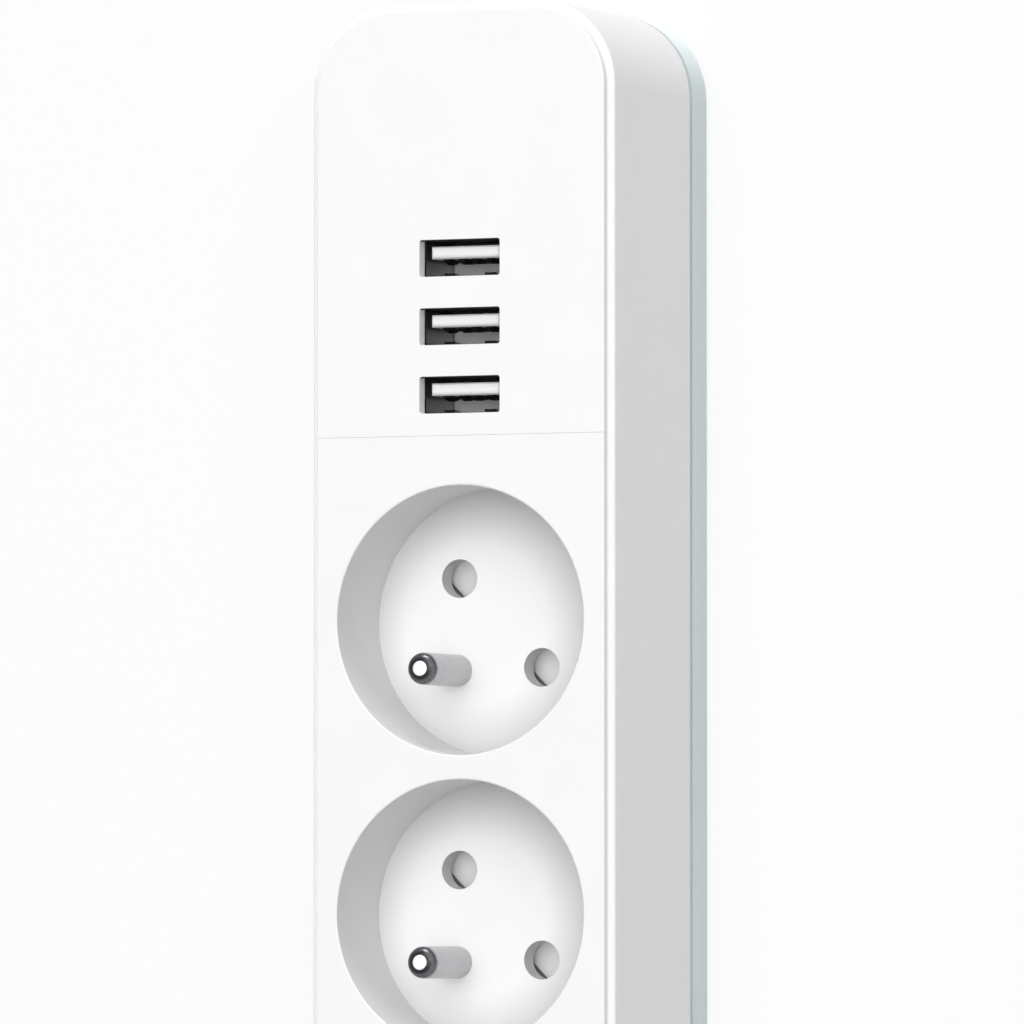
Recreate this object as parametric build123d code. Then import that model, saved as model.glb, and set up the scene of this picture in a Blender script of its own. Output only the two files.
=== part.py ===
"""Smart power strip: round earthed sockets with shutters, USB ports and a switched, wireless inside.

Frame: X across the strip, Y along it towards the USB end, Z up out of the front face.
The origin is the middle of the back, which lies on the table. Millimetres and degrees.
"""
import os
from math import cos, radians, sin, tan

from build123d import *

# Socket, after the round earthed wall pattern with 4.8 mm pins.
SOCKETS = range(3)
WELL_DIAMETER = 40.0
WELL_DEPTH = 15.0
PIN_SPACING = 19.0
PIN_HOLE_DIAMETER = 5.8
PLUG_PIN_DIAMETER = 4.8
PLUG_PIN_REACH = 19.0
EARTH_OFFSET = 10.0
EARTH_PIN_DIAMETER = 4.8
EARTH_PIN_PROUD = 13.7
EARTH_TIP_RADIUS = 1.5
EARTH_SHANK = 4.2
SOCKET_TURN = 45.0

# Housing walls and edges.
WELL_WALL = 1.6
WELL_SPACE = 0.4
WELL_RIM_RADIUS = 0.25
FIT_GAP = 0.35
BODY_WALL = 2.6
CORNER_RADIUS = 13.0
RIM = 1.2
RIM_RADIUS = 0.55
PANEL_PROUD = 1.2
PANEL_FIT = 0.1
PANEL_THICKNESS = 1.9
PANEL_EDGE_RADIUS = 0.25
PANEL_SEAM = 0.03
BACK_FLOOR = 2.5
BACK_EDGE_RADIUS = 1.8
COVER_SIDE = 4.25
SEAM_GROOVE = 0.9
SEAM_DEPTH = 0.9
LOWER_EDGE_RADIUS = 0.3
SPIGOT_GAP = 0.15
SPIGOT_WALL = 1.2
SPIGOT_HEIGHT = 2.8
PIN_TIP_GAP = 1.0

# Lengths along the strip.
USB_SECTION = 64.48
SEAM_LAND = 5.77
END_ZONE = 34.35

# Cover screws with their bosses and posts.
BOSS_DIAMETER = 6.0
BOSS_GAP = 0.15
BOSS_END_INSET = 8.0
BOSS_SIDE_INSET = 8.05
SCREW_DIAMETER = 2.9
SCREW_HEAD_DIAMETER = 5.6
SCREW_HEAD_HEIGHT = 2.2
SCREW_HEAD_SINK = 1.0
SCREW_BITE = 9.0
SCREW_SPARE = 1.0
SCREW_CLEARANCE = 0.2
SCREW_SLOT = 0.9
POST_GAP = 0.5
POST_FOOT_WALL = 1.0

# Socket inserts, shutters and their springs.
INSERT_FLOOR = 3.4
SKIRT_WALL = 1.4
SHUTTER_GAP = 0.2
SHUTTER_HEIGHT = 3.0
SHUTTER_LENGTH = 26.0
SHUTTER_FLAT = 2.3
SHUTTER_EDGE = 2.8
SHUTTER_RAMP = 14.0
SHUTTER_PASS = 0.1
SHUTTER_SEAT = 2.2
SHUTTER_SIDE_GAP = 0.25
RAIL = 1.1
STOP = 1.3
STOP_LENGTH = 8.0
SPRING_DIAMETER = 2.4
SPRING_WIRE = 0.4
SPRING_TURNS = 8
SPRING_SPARE = 1.0
SPRING_END_GAP = 0.05
PEG_DIAMETER = 1.5
PEG_LENGTH = 1.4
EARTH_HOLE_GAP = 0.1

# Contacts, carriers, busbars and wires.
CARRIER_PLATE = 1.6
CONTACT_SHEET = 0.6
CONTACT_GRIP = 0.2
CONTACT_BACK = 3.2
CONTACT_FRONT = 2.4
CONTACT_TOP_GAP = 0.3
POCKET_GAP = 0.15
POCKET_WALL = 1.0
WIRE_DIAMETER = 2.2
WIRE_GAP = 0.3
WIRE_BEND = 2.6
BUS_SHEET = 0.8
BUS_HEIGHT = 5.0
BUS_GAP = 0.5
BUS_LAP = 5.0
LINK_WIDTH = 3.0
LINK_RISE = 1.0
EARTH_TAB_WIDTH = 6.6
RIVET_HEAD = 5.4
RIVET_HEIGHT = 0.8
RIVET_GAP = 0.05

# USB ports.
USB_PORTS = range(3)
USB_LAND = 6.06
USB_PITCH = 10.17
USB_CUT_WIDTH = 13.05
USB_CUT_HEIGHT = 5.5
USB_CUT_RADIUS = 0.4
USB_SHELL_LIP = 0.1
USB_SHELL_SHEET = 0.3
USB_SHELL_GAP = 0.1
USB_DEPTH = 14.0
USB_FINGER_WIDTH = 1.8
USB_FINGER_SPREAD = 6.6
USB_FINGER_LENGTH = 6.0
USB_FINGER_INSET = 1.4
USB_FINGER_SPRING = 0.5
USB_FINGER_SLOT = 0.3
USB_BASE = 4.0
USB_BASE_GAP = 0.1
USB_TONGUE_WIDTH = 11.1
USB_TONGUE_THICKNESS = 1.84
USB_TONGUE_GAP = 0.7
USB_TONGUE_INSET = 0.2
USB_CONTACT_WIDTH = 1.2
USB_CONTACT_SHEET = 0.25
USB_CONTACT_SPRING = 0.75
USB_CONTACT_INSET = 1.0
USB_CONTACT_LENGTH = 4.0
USB_CONTACT_INNER = 2.0
USB_CONTACT_OUTER = 7.0

# Boards and what they carry.
BOARD = 1.6
BOARD_STANDOFF = 4.0
BOARD_EDGE_GAP = 0.5
BOARD_END_GAP = 1.0
PART_GAP = 1.0
BOARD_POST_DIAMETER = 4.6
BOARD_SCREW_DIAMETER = 1.9
BOARD_SCREW_HEAD = 3.6
BOARD_SCREW_HEAD_HEIGHT = 1.2
BOARD_SCREW_BITE = 3.0
BOARD_SCREW_CLEARANCE = 0.15
BOARD_POST_INSET = 2.6
USB_BOARD_EDGE = 4.0
USB_POST_GAP = 2.0
USB_POST_EDGE = 0.8
MODULE_SHEET = 0.8
MODULE_WIDTH = 16.0
MODULE_HEIGHT = 20.0
SHIELD_WIDTH = 12.0
SHIELD_HEIGHT = 13.0
SHIELD_DEPTH = 2.0
RELAY_WIDTH = 9.8
RELAY_LENGTH = 18.0
RELAY_HEIGHT = 10.4
RELAY_GAP = 0.5
RELAY_EDGE = 0.5
TRANSFORMER_WIDTH = 14.0
TRANSFORMER_LENGTH = 13.0
TRANSFORMER_HEIGHT = 9.5
TRANSFORMER_FLANGE = 2.0
TRANSFORMER_WAIST = 1.6
CAPACITOR_DIAMETER = 8.0
CAPACITOR_HEIGHT = 9.5
CAPACITOR_EDGE = 0.6
VARISTOR_DIAMETER = 8.5
VARISTOR_THICKNESS = 4.0
FUSE_DIAMETER = 3.6
FUSE_LENGTH = 10.0
FUSE_CAP = 2.2
FUSE_CAP_EDGE = 0.2
HEADER_LENGTH = 5.0
HEADER_WALL = 0.6
LINK_BLOCK_WIDTH = 10.2
LINK_BLOCK_DEPTH = 2.5
CABLE_WIDTH = 4.0
CABLE_THICKNESS = 0.8
CABLE_BEND = 2.4
CABLE_GAP = 0.4

# Power button, its switch board and the indicator.
BUTTON_FROM_END = 20.0
BUTTON_DIAMETER = 9.4
BUTTON_HOLE_GAP = 0.25
BUTTON_PROUD = 0.5
BUTTON_EDGE = 0.4
BUTTON_FLANGE = 12.6
BUTTON_FLANGE_THICKNESS = 1.2
BUTTON_STEM = 3.0
BUTTON_TRAVEL = 0.8
BUTTON_SPARE = 0.02
BUTTON_DEPTH = 8.0
BUTTON_SPRING_DIAMETER = 10.4
BUTTON_SPRING_TURNS = 4
BUTTON_POST_GAP = 1.0
SWITCH_SIDE = 6.0
SWITCH_HEIGHT = 3.5
PLUNGER_DIAMETER = 3.4
PLUNGER_HEIGHT = 0.8
GUIDE_FROM_BUTTON = 10.0
GUIDE_DIAMETER = 2.4
GUIDE_FLANGE = 4.0
GUIDE_FLANGE_THICKNESS = 1.0
GUIDE_GAP = 0.1
LED_LENGTH = 3.0
LED_WIDTH = 2.0
LED_HEIGHT = 1.2
LED_GAP = 0.4

# Cord gland and terminal block.
GLAND_BORE = 8.6
GLAND_NECK = 12.0
GLAND_FLANGE = 15.0
GLAND_FLANGE_THICKNESS = 1.2
GLAND_LIP = 14.0
GLAND_LIP_THICKNESS = 1.6
GLAND_SLEEVE = 4.0
GLAND_RISE = 0.5
GLAND_GAP = 0.1
GLAND_EDGE = 0.4
TERMINAL_LENGTH = 12.0
TERMINAL_HEIGHT = 13.0
TERMINAL_SIDE = 1.2
TERMINAL_SPACE = 1.5
TERMINAL_PITCH = 11.0
TERMINAL_ENTRY = 3.6
TERMINAL_ENTRY_DEPTH = 8.0
TERMINAL_SCREW = 4.0
TERMINAL_SCREW_LENGTH = 5.0
TERMINAL_SCREW_SINK = 0.8
TERMINAL_SCREW_GAP = 0.15
TERMINAL_SCREW_SLOT = 0.8

# Share of a screw's head that its cross recess spans, and the reach of a search for edges.
RECESS_SHARE = 0.55
TOUCH = 0.01

# Places that follow from the sizes above, from the socket outwards.
TURN = radians(SOCKET_TURN)
PIN_X = PIN_SPACING / 2 * cos(TURN)
PIN_Y = PIN_SPACING / 2 * sin(TURN)
EARTH_X = -EARTH_OFFSET * sin(TURN)
EARTH_Y = -EARTH_OFFSET * cos(TURN)
WELL_OUTER = WELL_DIAMETER + 2 * WELL_WALL
SOCKET_PITCH = WELL_OUTER + WELL_SPACE
CONTACT_OUT_X = PIN_X + CONTACT_BACK + CONTACT_SHEET
POCKET_OUT_X = CONTACT_OUT_X + POCKET_GAP + POCKET_WALL
WIRE_X = POCKET_OUT_X + WIRE_GAP + WIRE_DIAMETER / 2
BUS_IN_X = WIRE_X + WIRE_DIAMETER / 2 + WIRE_GAP
BUS_OUT_X = BUS_IN_X + BUS_SHEET
BOSS_X = BUS_OUT_X + BUS_GAP + BOSS_DIAMETER / 2
RELAY_X = [(index - (len(SOCKETS) - 1) / 2) * (RELAY_WIDTH + RELAY_GAP) for index in SOCKETS]
RELAY_ROW_HALF = RELAY_X[-1] + RELAY_WIDTH / 2
RELAY_POST_X = RELAY_ROW_HALF + RELAY_GAP + BOARD_SCREW_HEAD / 2
SPIGOT_INSET = SPIGOT_GAP + SPIGOT_WALL
INNER_HALF = max(
    WELL_OUTER / 2 + FIT_GAP,
    BOSS_X + BOSS_DIAMETER / 2 + BOSS_GAP,
    RELAY_POST_X + BOARD_POST_DIAMETER / 2 + BOARD_EDGE_GAP + SPIGOT_INSET,
)
BODY_WIDTH = 2 * (INNER_HALF + BODY_WALL)
END_BOSS_X = BODY_WIDTH / 2 - BOSS_SIDE_INSET
BODY_LENGTH = (
    USB_SECTION + SEAM_LAND + WELL_OUTER + (len(SOCKETS) - 1) * SOCKET_PITCH + END_ZONE
)
USB_END_Y = BODY_LENGTH / 2
CORD_END_Y = -BODY_LENGTH / 2
SEAM_Y = USB_END_Y - USB_SECTION
FIRST_SOCKET_Y = SEAM_Y - SEAM_LAND - WELL_OUTER / 2
SOCKET_Y = [FIRST_SOCKET_Y - index * SOCKET_PITCH for index in SOCKETS]
LAST_WELL_Y = SOCKET_Y[-1] - WELL_OUTER / 2

# Heights, from the back up.
FACE_Z = BACK_FLOOR + PIN_TIP_GAP + PLUG_PIN_REACH + WELL_DEPTH
LEDGE_Z = FACE_Z - PANEL_THICKNESS
RIM_Z = FACE_Z - PANEL_PROUD
WELL_FLOOR_Z = FACE_Z - WELL_DEPTH
INSERT_UNDER_Z = WELL_FLOOR_Z - INSERT_FLOOR
SHUTTER_TOP_Z = INSERT_UNDER_Z - SHUTTER_GAP
SHUTTER_BOTTOM_Z = SHUTTER_TOP_Z - SHUTTER_HEIGHT
CARRIER_TOP_Z = SHUTTER_BOTTOM_Z - SHUTTER_GAP
CARRIER_UNDER_Z = CARRIER_TOP_Z - CARRIER_PLATE
CONTACT_TOP_Z = CARRIER_UNDER_Z - CONTACT_TOP_GAP
EARTH_TAB_TOP_Z = CARRIER_UNDER_Z
EARTH_TAB_Z = EARTH_TAB_TOP_Z - BUS_SHEET
COVER_RIM_Z = BACK_FLOOR + COVER_SIDE
BODY_BOTTOM_Z = COVER_RIM_Z + SEAM_GROOVE
SPIGOT_TOP_Z = BODY_BOTTOM_Z + SPIGOT_HEIGHT
POST_TOP_Z = SPIGOT_TOP_Z + POST_GAP
HEAD_SEAT_Z = SCREW_HEAD_SINK + SCREW_HEAD_HEIGHT
CONTROL_Z = BACK_FLOOR + BOARD_STANDOFF
CONTROL_TOP_Z = CONTROL_Z + BOARD
NEUTRAL_TOP_Z = CONTROL_TOP_Z + BUS_HEIGHT
LINK_Z = CONTROL_TOP_Z + LINK_RISE
WIRE_Z = [
    BACK_FLOOR + WIRE_GAP + WIRE_DIAMETER / 2 + index * (WIRE_DIAMETER + WIRE_GAP) for index in SOCKETS
]
USB_MOUTH_Z = LEDGE_Z - USB_SHELL_GAP
USB_BOARD_TOP_Z = USB_MOUTH_Z - USB_DEPTH
USB_BOARD_Z = USB_BOARD_TOP_Z - BOARD
PART_TOP_Z = USB_BOARD_Z - PART_GAP / 2
GLAND_Z = SPIGOT_TOP_Z + GLAND_RISE + max(GLAND_FLANGE, GLAND_LIP) / 2
TERMINAL_TOP_Z = BACK_FLOOR + TERMINAL_HEIGHT
BUTTON_BOARD_TOP_Z = LEDGE_Z - BUTTON_DEPTH
BUTTON_BOARD_Z = BUTTON_BOARD_TOP_Z - BOARD
PLUNGER_TOP_Z = BUTTON_BOARD_TOP_Z + SWITCH_HEIGHT + PLUNGER_HEIGHT

# Shutter and spring places along the shutter's own way.
RAMP_END_V = PIN_HOLE_DIAMETER / 2 + SHUTTER_PASS
SHUTTER_TRAVEL = SHUTTER_EDGE + RAMP_END_V
RAMP_DROP = (SHUTTER_EDGE + RAMP_END_V) * tan(radians(SHUTTER_RAMP))
SHUTTER_FAR_V = RAMP_END_V + SHUTTER_FLAT
SPRING_SEAT_V = SHUTTER_SEAT - SHUTTER_EDGE
SPRING_STOP_V = SHUTTER_FAR_V + SHUTTER_TRAVEL + SPRING_SPARE
SPRING_Z = (SHUTTER_TOP_Z - RAMP_DROP + SHUTTER_BOTTOM_Z) / 2 + RAMP_DROP / 2
NOTCH_WIDTH = SPRING_DIAMETER + SPRING_WIRE + 2 * SHUTTER_SIDE_GAP
RAIL_U = SHUTTER_LENGTH / 2 + SHUTTER_SIDE_GAP

# Board places along the strip.
USB_PORT_Y = [SEAM_Y + USB_LAND + (len(USB_PORTS) - 1 - index) * USB_PITCH for index in USB_PORTS]
USB_MIDDLE_Y = (USB_PORT_Y[0] + USB_PORT_Y[-1]) / 2
USB_SHELL_WIDTH = USB_CUT_WIDTH + 2 * USB_SHELL_LIP
USB_SHELL_HEIGHT = USB_CUT_HEIGHT + 2 * USB_SHELL_LIP
USB_INNER_WIDTH = USB_SHELL_WIDTH - 2 * USB_SHELL_SHEET
USB_INNER_HEIGHT = USB_SHELL_HEIGHT - 2 * USB_SHELL_SHEET
USB_POST_X = USB_SHELL_WIDTH / 2 + USB_POST_GAP + BOARD_POST_DIAMETER / 2
USB_BOARD_HALF = USB_POST_X + BOARD_POST_DIAMETER / 2 + USB_POST_EDGE
USB_BOARD_HIGH_Y = USB_PORT_Y[0] + USB_SHELL_HEIGHT / 2 + USB_BOARD_EDGE
USB_BOARD_LOW_Y = USB_PORT_Y[-1] - USB_SHELL_HEIGHT / 2 - USB_BOARD_EDGE
END_BOSS_Y = USB_END_Y - BOSS_END_INSET
CORD_BOSS_Y = CORD_END_Y + BOSS_END_INSET
CONTROL_HALF = INNER_HALF - SPIGOT_INSET - BOARD_EDGE_GAP
CONTROL_HIGH_Y = END_BOSS_Y - BOSS_DIAMETER / 2 - POST_FOOT_WALL - BOARD_END_GAP
MODULE_Y = CONTROL_HIGH_Y - BOARD_EDGE_GAP
RELAY_HIGH_Y = MODULE_Y - MODULE_SHEET - PART_GAP
RELAY_LOW_Y = RELAY_HIGH_Y - RELAY_LENGTH
ROW_Y = RELAY_LOW_Y - PART_GAP
ROW_LENGTH = max(TRANSFORMER_LENGTH, 2 * CAPACITOR_DIAMETER + PART_GAP, FUSE_LENGTH)
LINK_HIGH_Y = ROW_Y - ROW_LENGTH - PART_GAP
CONTROL_LOW_Y = LINK_HIGH_Y - LINK_BLOCK_DEPTH - PART_GAP - HEADER_LENGTH
CAPACITOR_X = BOARD_POST_INSET + CAPACITOR_DIAMETER / 2 - CONTROL_HALF
VARISTOR_X = CONTROL_HALF - BOARD_POST_INSET - VARISTOR_THICKNESS / 2
FUSE_X = VARISTOR_X - VARISTOR_THICKNESS / 2 - PART_GAP - FUSE_DIAMETER / 2
TRANSFORMER_X = (CAPACITOR_X + CAPACITOR_DIAMETER / 2 + FUSE_X - FUSE_DIAMETER / 2) / 2
CONTROL_POST_X = CONTROL_HALF - BOARD_POST_INSET
CONTROL_POST_Y = (CONTROL_HIGH_Y - BOARD_POST_INSET, LINK_HIGH_Y - LINK_BLOCK_DEPTH)
TERMINAL_HIGH_Y = LAST_WELL_Y - TERMINAL_SPACE
TERMINAL_LOW_Y = TERMINAL_HIGH_Y - TERMINAL_LENGTH
TERMINAL_HALF = BUS_OUT_X + TERMINAL_SIDE
TERMINAL_X = (-TERMINAL_PITCH, 0.0, TERMINAL_PITCH)
BUTTON_Y = CORD_END_Y + BUTTON_FROM_END
GUIDE_Y = BUTTON_Y + GUIDE_FROM_BUTTON
BUTTON_POST_X = BUTTON_FLANGE / 2 + BUTTON_POST_GAP + BOARD_POST_DIAMETER / 2
BUTTON_BOARD_HALF = BUTTON_POST_X + BOARD_POST_DIAMETER / 2
BUTTON_BOARD_HIGH_Y = GUIDE_Y + GUIDE_FLANGE / 2
BUTTON_BOARD_LOW_Y = BUTTON_Y - BUTTON_FLANGE / 2 - PART_GAP
CABLE_RISE_Y = (TERMINAL_LOW_Y + BUTTON_BOARD_LOW_Y) / 2
SOCKET_BOSSES = [
    (side * BOSS_X, (SOCKET_Y[index] + SOCKET_Y[index + 1]) / 2) for index in SOCKETS[:-1] for side in (-1, 1)
] + [(side * END_BOSS_X, CORD_BOSS_Y) for side in (-1, 1)]
USB_BOSSES = [(side * END_BOSS_X, END_BOSS_Y) for side in (-1, 1)]


def prism(sketch, low, high):
    """Plan sketch raised between two heights."""
    return extrude(Pos(0, 0, low) * sketch, high - low)


def rod(diameter, low, high, x=0.0, y=0.0):
    """Upright cylinder between two heights."""
    return Pos(x, y, (low + high) / 2) * Cylinder(diameter / 2, high - low)


def block(x_span, y_span, z_span):
    """Box between two ends along each axis, given in either order."""
    spans = [sorted(span) for span in (x_span, y_span, z_span)]
    size = [span[1] - span[0] for span in spans]
    centre = [sum(span) / 2 for span in spans]
    return Pos(*centre) * Box(*size)


def around(centre, width):
    """Span of one width about a centre."""
    return centre - width / 2, centre + width / 2


def outline(inset):
    """Plan of the strip, moved in from the outside by one distance."""
    width = BODY_WIDTH - 2 * inset
    length = BODY_LENGTH - 2 * inset
    return RectangleRounded(width, length, CORNER_RADIUS - inset)


def edges_at(shape, height):
    """Level edges of a shape at one height."""
    return shape.edges().filter_by_position(Axis.Z, height - TOUCH, height + TOUCH)


def round_edges_at(shape, height, diameter):
    """Level circles of one diameter at one height."""
    circles = edges_at(shape, height).filter_by(GeomType.CIRCLE)
    return [edge for edge in circles if abs(edge.radius - diameter / 2) < TOUCH]


def at_socket(index):
    """Place of one socket, with its first axis along the line of the pin holes."""
    return Pos(0, SOCKET_Y[index], 0) * Rot(0, 0, -SOCKET_TURN)


def along_y(diameter, low, high, x, z):
    """Cylinder lying along the strip."""
    return Pos(x, (low + high) / 2, z) * Rot(90, 0, 0) * Cylinder(diameter / 2, high - low)


def coil(diameter, wire, turns, length):
    """Compression spring standing on the origin, with a small gap at each end."""
    low = wire / 2 + SPRING_END_GAP
    height = length - 2 * low
    path = Helix(height / turns, height, diameter / 2, center=(0, 0, low))
    return sweep(Plane(path @ 0, z_dir=path % 0) * Circle(wire / 2), path=path, is_frenet=True)


def screw(diameter, head_diameter, head_height, length, slot):
    """Pan head screw pointing up, its head's seat at the origin, with a cross recess."""
    head = rod(head_diameter, -head_height, 0)
    head = fillet(edges_at(head, -head_height), head_height / 4)
    shank = rod(diameter, 0, length)
    shank = chamfer(edges_at(shank, length), diameter / 5)
    recess = (-head_height, -head_height / 2)
    arm = around(0, head_diameter * RECESS_SHARE)
    cross = block(arm, around(0, slot), recess) + block(around(0, slot), arm, recess)
    return head + shank - cross


def boss(x, y):
    """Screw boss under a front panel, down to the post on the back cover."""
    pilot = rod(SCREW_DIAMETER + SCREW_CLEARANCE, POST_TOP_Z, POST_TOP_Z + SCREW_BITE + SCREW_SPARE, x, y)
    return rod(BOSS_DIAMETER, POST_TOP_Z, LEDGE_Z, x, y) - pilot


def board_post(x, y, low, high, hole_low, hole_high):
    """Post that a circuit board is screwed to, with its pilot hole."""
    pilot = rod(BOARD_SCREW_DIAMETER + BOARD_SCREW_CLEARANCE, hole_low, hole_high, x, y)
    return rod(BOARD_POST_DIAMETER, low, high, x, y) - pilot


def back_cover():
    """Tray that closes the back, with posts for the screws and the control board."""
    tray = prism(outline(0), 0, COVER_RIM_Z)
    tray = fillet(edges_at(tray, 0), BACK_EDGE_RADIUS)
    spigot_inset = BODY_WALL + SPIGOT_GAP
    tray += prism(outline(SEAM_DEPTH), COVER_RIM_Z, BODY_BOTTOM_Z)
    tray += prism(outline(spigot_inset), BODY_BOTTOM_Z, SPIGOT_TOP_Z)
    tray -= prism(outline(spigot_inset + SPIGOT_WALL), BACK_FLOOR, SPIGOT_TOP_Z)
    head_hole = SCREW_HEAD_DIAMETER + 2 * SCREW_CLEARANCE
    for x, y in SOCKET_BOSSES + USB_BOSSES:
        tray += rod(head_hole + 2 * POST_FOOT_WALL, BACK_FLOOR / 2, HEAD_SEAT_Z + POST_FOOT_WALL, x, y)
        tray += rod(BOSS_DIAMETER, HEAD_SEAT_Z, POST_TOP_Z, x, y)
    for x, y in SOCKET_BOSSES + USB_BOSSES:
        tray -= rod(head_hole, 0, HEAD_SEAT_Z, x, y)
        tray -= rod(SCREW_DIAMETER + 2 * SCREW_CLEARANCE, 0, POST_TOP_Z, x, y)
    for y in CONTROL_POST_Y:
        for x in (-CONTROL_POST_X, CONTROL_POST_X):
            tray += board_post(x, y, BACK_FLOOR, CONTROL_Z, CONTROL_Z - BOARD_SCREW_BITE, CONTROL_Z)
    return tray


def body_shell():
    """Side wall of the strip, with the rim that the front panels lie on."""
    shell = prism(outline(0), BODY_BOTTOM_Z, RIM_Z)
    shell = fillet(edges_at(shell, RIM_Z), RIM_RADIUS)
    shell = fillet(edges_at(shell, BODY_BOTTOM_Z), LOWER_EDGE_RADIUS)
    shell -= prism(outline(BODY_WALL), BODY_BOTTOM_Z, RIM_Z)
    neck_end = CORD_END_Y + BODY_WALL + TOUCH
    shell -= along_y(GLAND_NECK + 2 * GLAND_GAP, CORD_END_Y - TOUCH, neck_end, 0, GLAND_Z)
    recess_end = CORD_END_Y + GLAND_FLANGE_THICKNESS
    shell -= along_y(GLAND_FLANGE + 2 * GLAND_GAP, CORD_END_Y - TOUCH, recess_end, 0, GLAND_Z)
    return shell


def panel_plate(low_y, high_y):
    """Front plate between two places along the strip, proud of the rim and stepped to fit inside it."""
    band = block((-BODY_WIDTH, BODY_WIDTH), (low_y, high_y), (LEDGE_Z, FACE_Z))
    plate = prism(outline(RIM), RIM_Z, FACE_Z)
    plate = fillet(edges_at(plate, FACE_Z), PANEL_EDGE_RADIUS)
    plate += prism(outline(BODY_WALL + PANEL_FIT), LEDGE_Z, RIM_Z)
    return plate & band


def socket_panel():
    """Front panel with the three wells, the button hole and the screw bosses."""
    panel = panel_plate(2 * CORD_END_Y, SEAM_Y - PANEL_SEAM / 2)
    for y in SOCKET_Y:
        panel += rod(WELL_OUTER, WELL_FLOOR_Z, LEDGE_Z, 0, y)
    for y in SOCKET_Y:
        panel -= rod(WELL_DIAMETER, WELL_FLOOR_Z, FACE_Z, 0, y)
    panel = fillet(round_edges_at(panel, FACE_Z, WELL_DIAMETER), WELL_RIM_RADIUS)
    for x, y in SOCKET_BOSSES:
        panel += boss(x, y)
    pilot_top = BUTTON_BOARD_TOP_Z + BOARD_SCREW_BITE
    for x in (-BUTTON_POST_X, BUTTON_POST_X):
        panel += board_post(x, BUTTON_Y, BUTTON_BOARD_TOP_Z, LEDGE_Z, BUTTON_BOARD_TOP_Z, pilot_top)
    panel -= rod(BUTTON_DIAMETER + 2 * BUTTON_HOLE_GAP, LEDGE_Z, FACE_Z, 0, BUTTON_Y)
    panel -= rod(GUIDE_DIAMETER + 2 * GUIDE_GAP, LEDGE_Z, FACE_Z, 0, GUIDE_Y)
    return panel


def usb_panel():
    """Front panel of the USB end, with three port openings and a lip under the socket panel."""
    panel = panel_plate(SEAM_Y + PANEL_SEAM / 2, 2 * USB_END_Y)
    lip_half = INNER_HALF - SEAM_LAND
    lip_z = (LEDGE_Z - PANEL_THICKNESS / 2, LEDGE_Z)
    panel += block((-lip_half, lip_half), (SEAM_Y - SEAM_LAND / 2, SEAM_Y + SEAM_LAND / 2), lip_z)
    for x, y in USB_BOSSES:
        panel += boss(x, y)
    pilot_top = USB_BOARD_TOP_Z + BOARD_SCREW_BITE
    for x in (-USB_POST_X, USB_POST_X):
        panel += board_post(x, USB_MIDDLE_Y, USB_BOARD_TOP_Z, LEDGE_Z, USB_BOARD_TOP_Z, pilot_top)
    opening = RectangleRounded(USB_CUT_WIDTH, USB_CUT_HEIGHT, USB_CUT_RADIUS)
    reach = LEDGE_Z - PANEL_THICKNESS
    for y in USB_PORT_Y:
        panel -= prism(Pos(0, y) * opening, reach, FACE_Z)
    seat = RectangleRounded(
        USB_SHELL_WIDTH + 2 * USB_SHELL_GAP, USB_SHELL_HEIGHT + 2 * USB_SHELL_GAP, USB_CUT_RADIUS
    )
    return panel - prism(Pos(0, USB_PORT_Y[-1]) * seat, reach, LEDGE_Z)


def socket_insert(index):
    """Floor of one well, with the pin holes and the rails and stops of its shutter."""
    insert = rod(WELL_OUTER, CARRIER_TOP_Z, WELL_FLOOR_Z)
    insert -= rod(WELL_OUTER - 2 * SKIRT_WALL, CARRIER_TOP_Z, INSERT_UNDER_Z)
    hang = (SHUTTER_BOTTOM_Z, INSERT_UNDER_Z)
    for side in (-1, 1):
        rail_v = (-SHUTTER_EDGE - STOP, SPRING_STOP_V)
        insert += block((side * RAIL_U, side * (RAIL_U + RAIL)), rail_v, hang)
    insert += block(around(0, STOP_LENGTH), (-SHUTTER_EDGE - STOP, -SHUTTER_EDGE), hang)
    insert += block(around(0, STOP_LENGTH), (SPRING_STOP_V, SPRING_STOP_V + STOP), hang)
    insert += along_y(PEG_DIAMETER, SPRING_STOP_V - PEG_LENGTH, SPRING_STOP_V, 0, SPRING_Z)
    for side in (-1, 1):
        insert -= rod(PIN_HOLE_DIAMETER, CARRIER_TOP_Z, WELL_FLOOR_Z, side * PIN_SPACING / 2)
    insert -= rod(EARTH_SHANK + 2 * EARTH_HOLE_GAP, CARRIER_TOP_Z, WELL_FLOOR_Z, 0, -EARTH_OFFSET)
    return at_socket(index) * insert


def shutter(index):
    """Sliding shutter, with a ramp under each pin hole and a notch for its spring."""
    profile = Polygon(
        (-SHUTTER_EDGE, SHUTTER_BOTTOM_Z),
        (SHUTTER_FAR_V, SHUTTER_BOTTOM_Z),
        (SHUTTER_FAR_V, SHUTTER_TOP_Z),
        (RAMP_END_V, SHUTTER_TOP_Z),
        (-SHUTTER_EDGE, SHUTTER_TOP_Z - RAMP_DROP),
        align=None,
    )
    bar = extrude(Plane.YZ * profile, SHUTTER_LENGTH / 2, both=True)
    notch = around(0, NOTCH_WIDTH)
    bar -= block(notch, (SPRING_SEAT_V, SHUTTER_FAR_V), (SHUTTER_BOTTOM_Z, SHUTTER_TOP_Z))
    bar += along_y(PEG_DIAMETER, SPRING_SEAT_V, SPRING_SEAT_V + PEG_LENGTH, 0, SPRING_Z)
    return at_socket(index) * bar


def shutter_spring(index):
    """Spring between the shutter's notch and the stop on the insert."""
    length = SPRING_STOP_V - SPRING_SEAT_V
    spring = coil(SPRING_DIAMETER, SPRING_WIRE, SPRING_TURNS, length)
    return at_socket(index) * Pos(0, SPRING_SEAT_V, SPRING_Z) * Rot(-90, 0, 0) * spring


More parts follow.
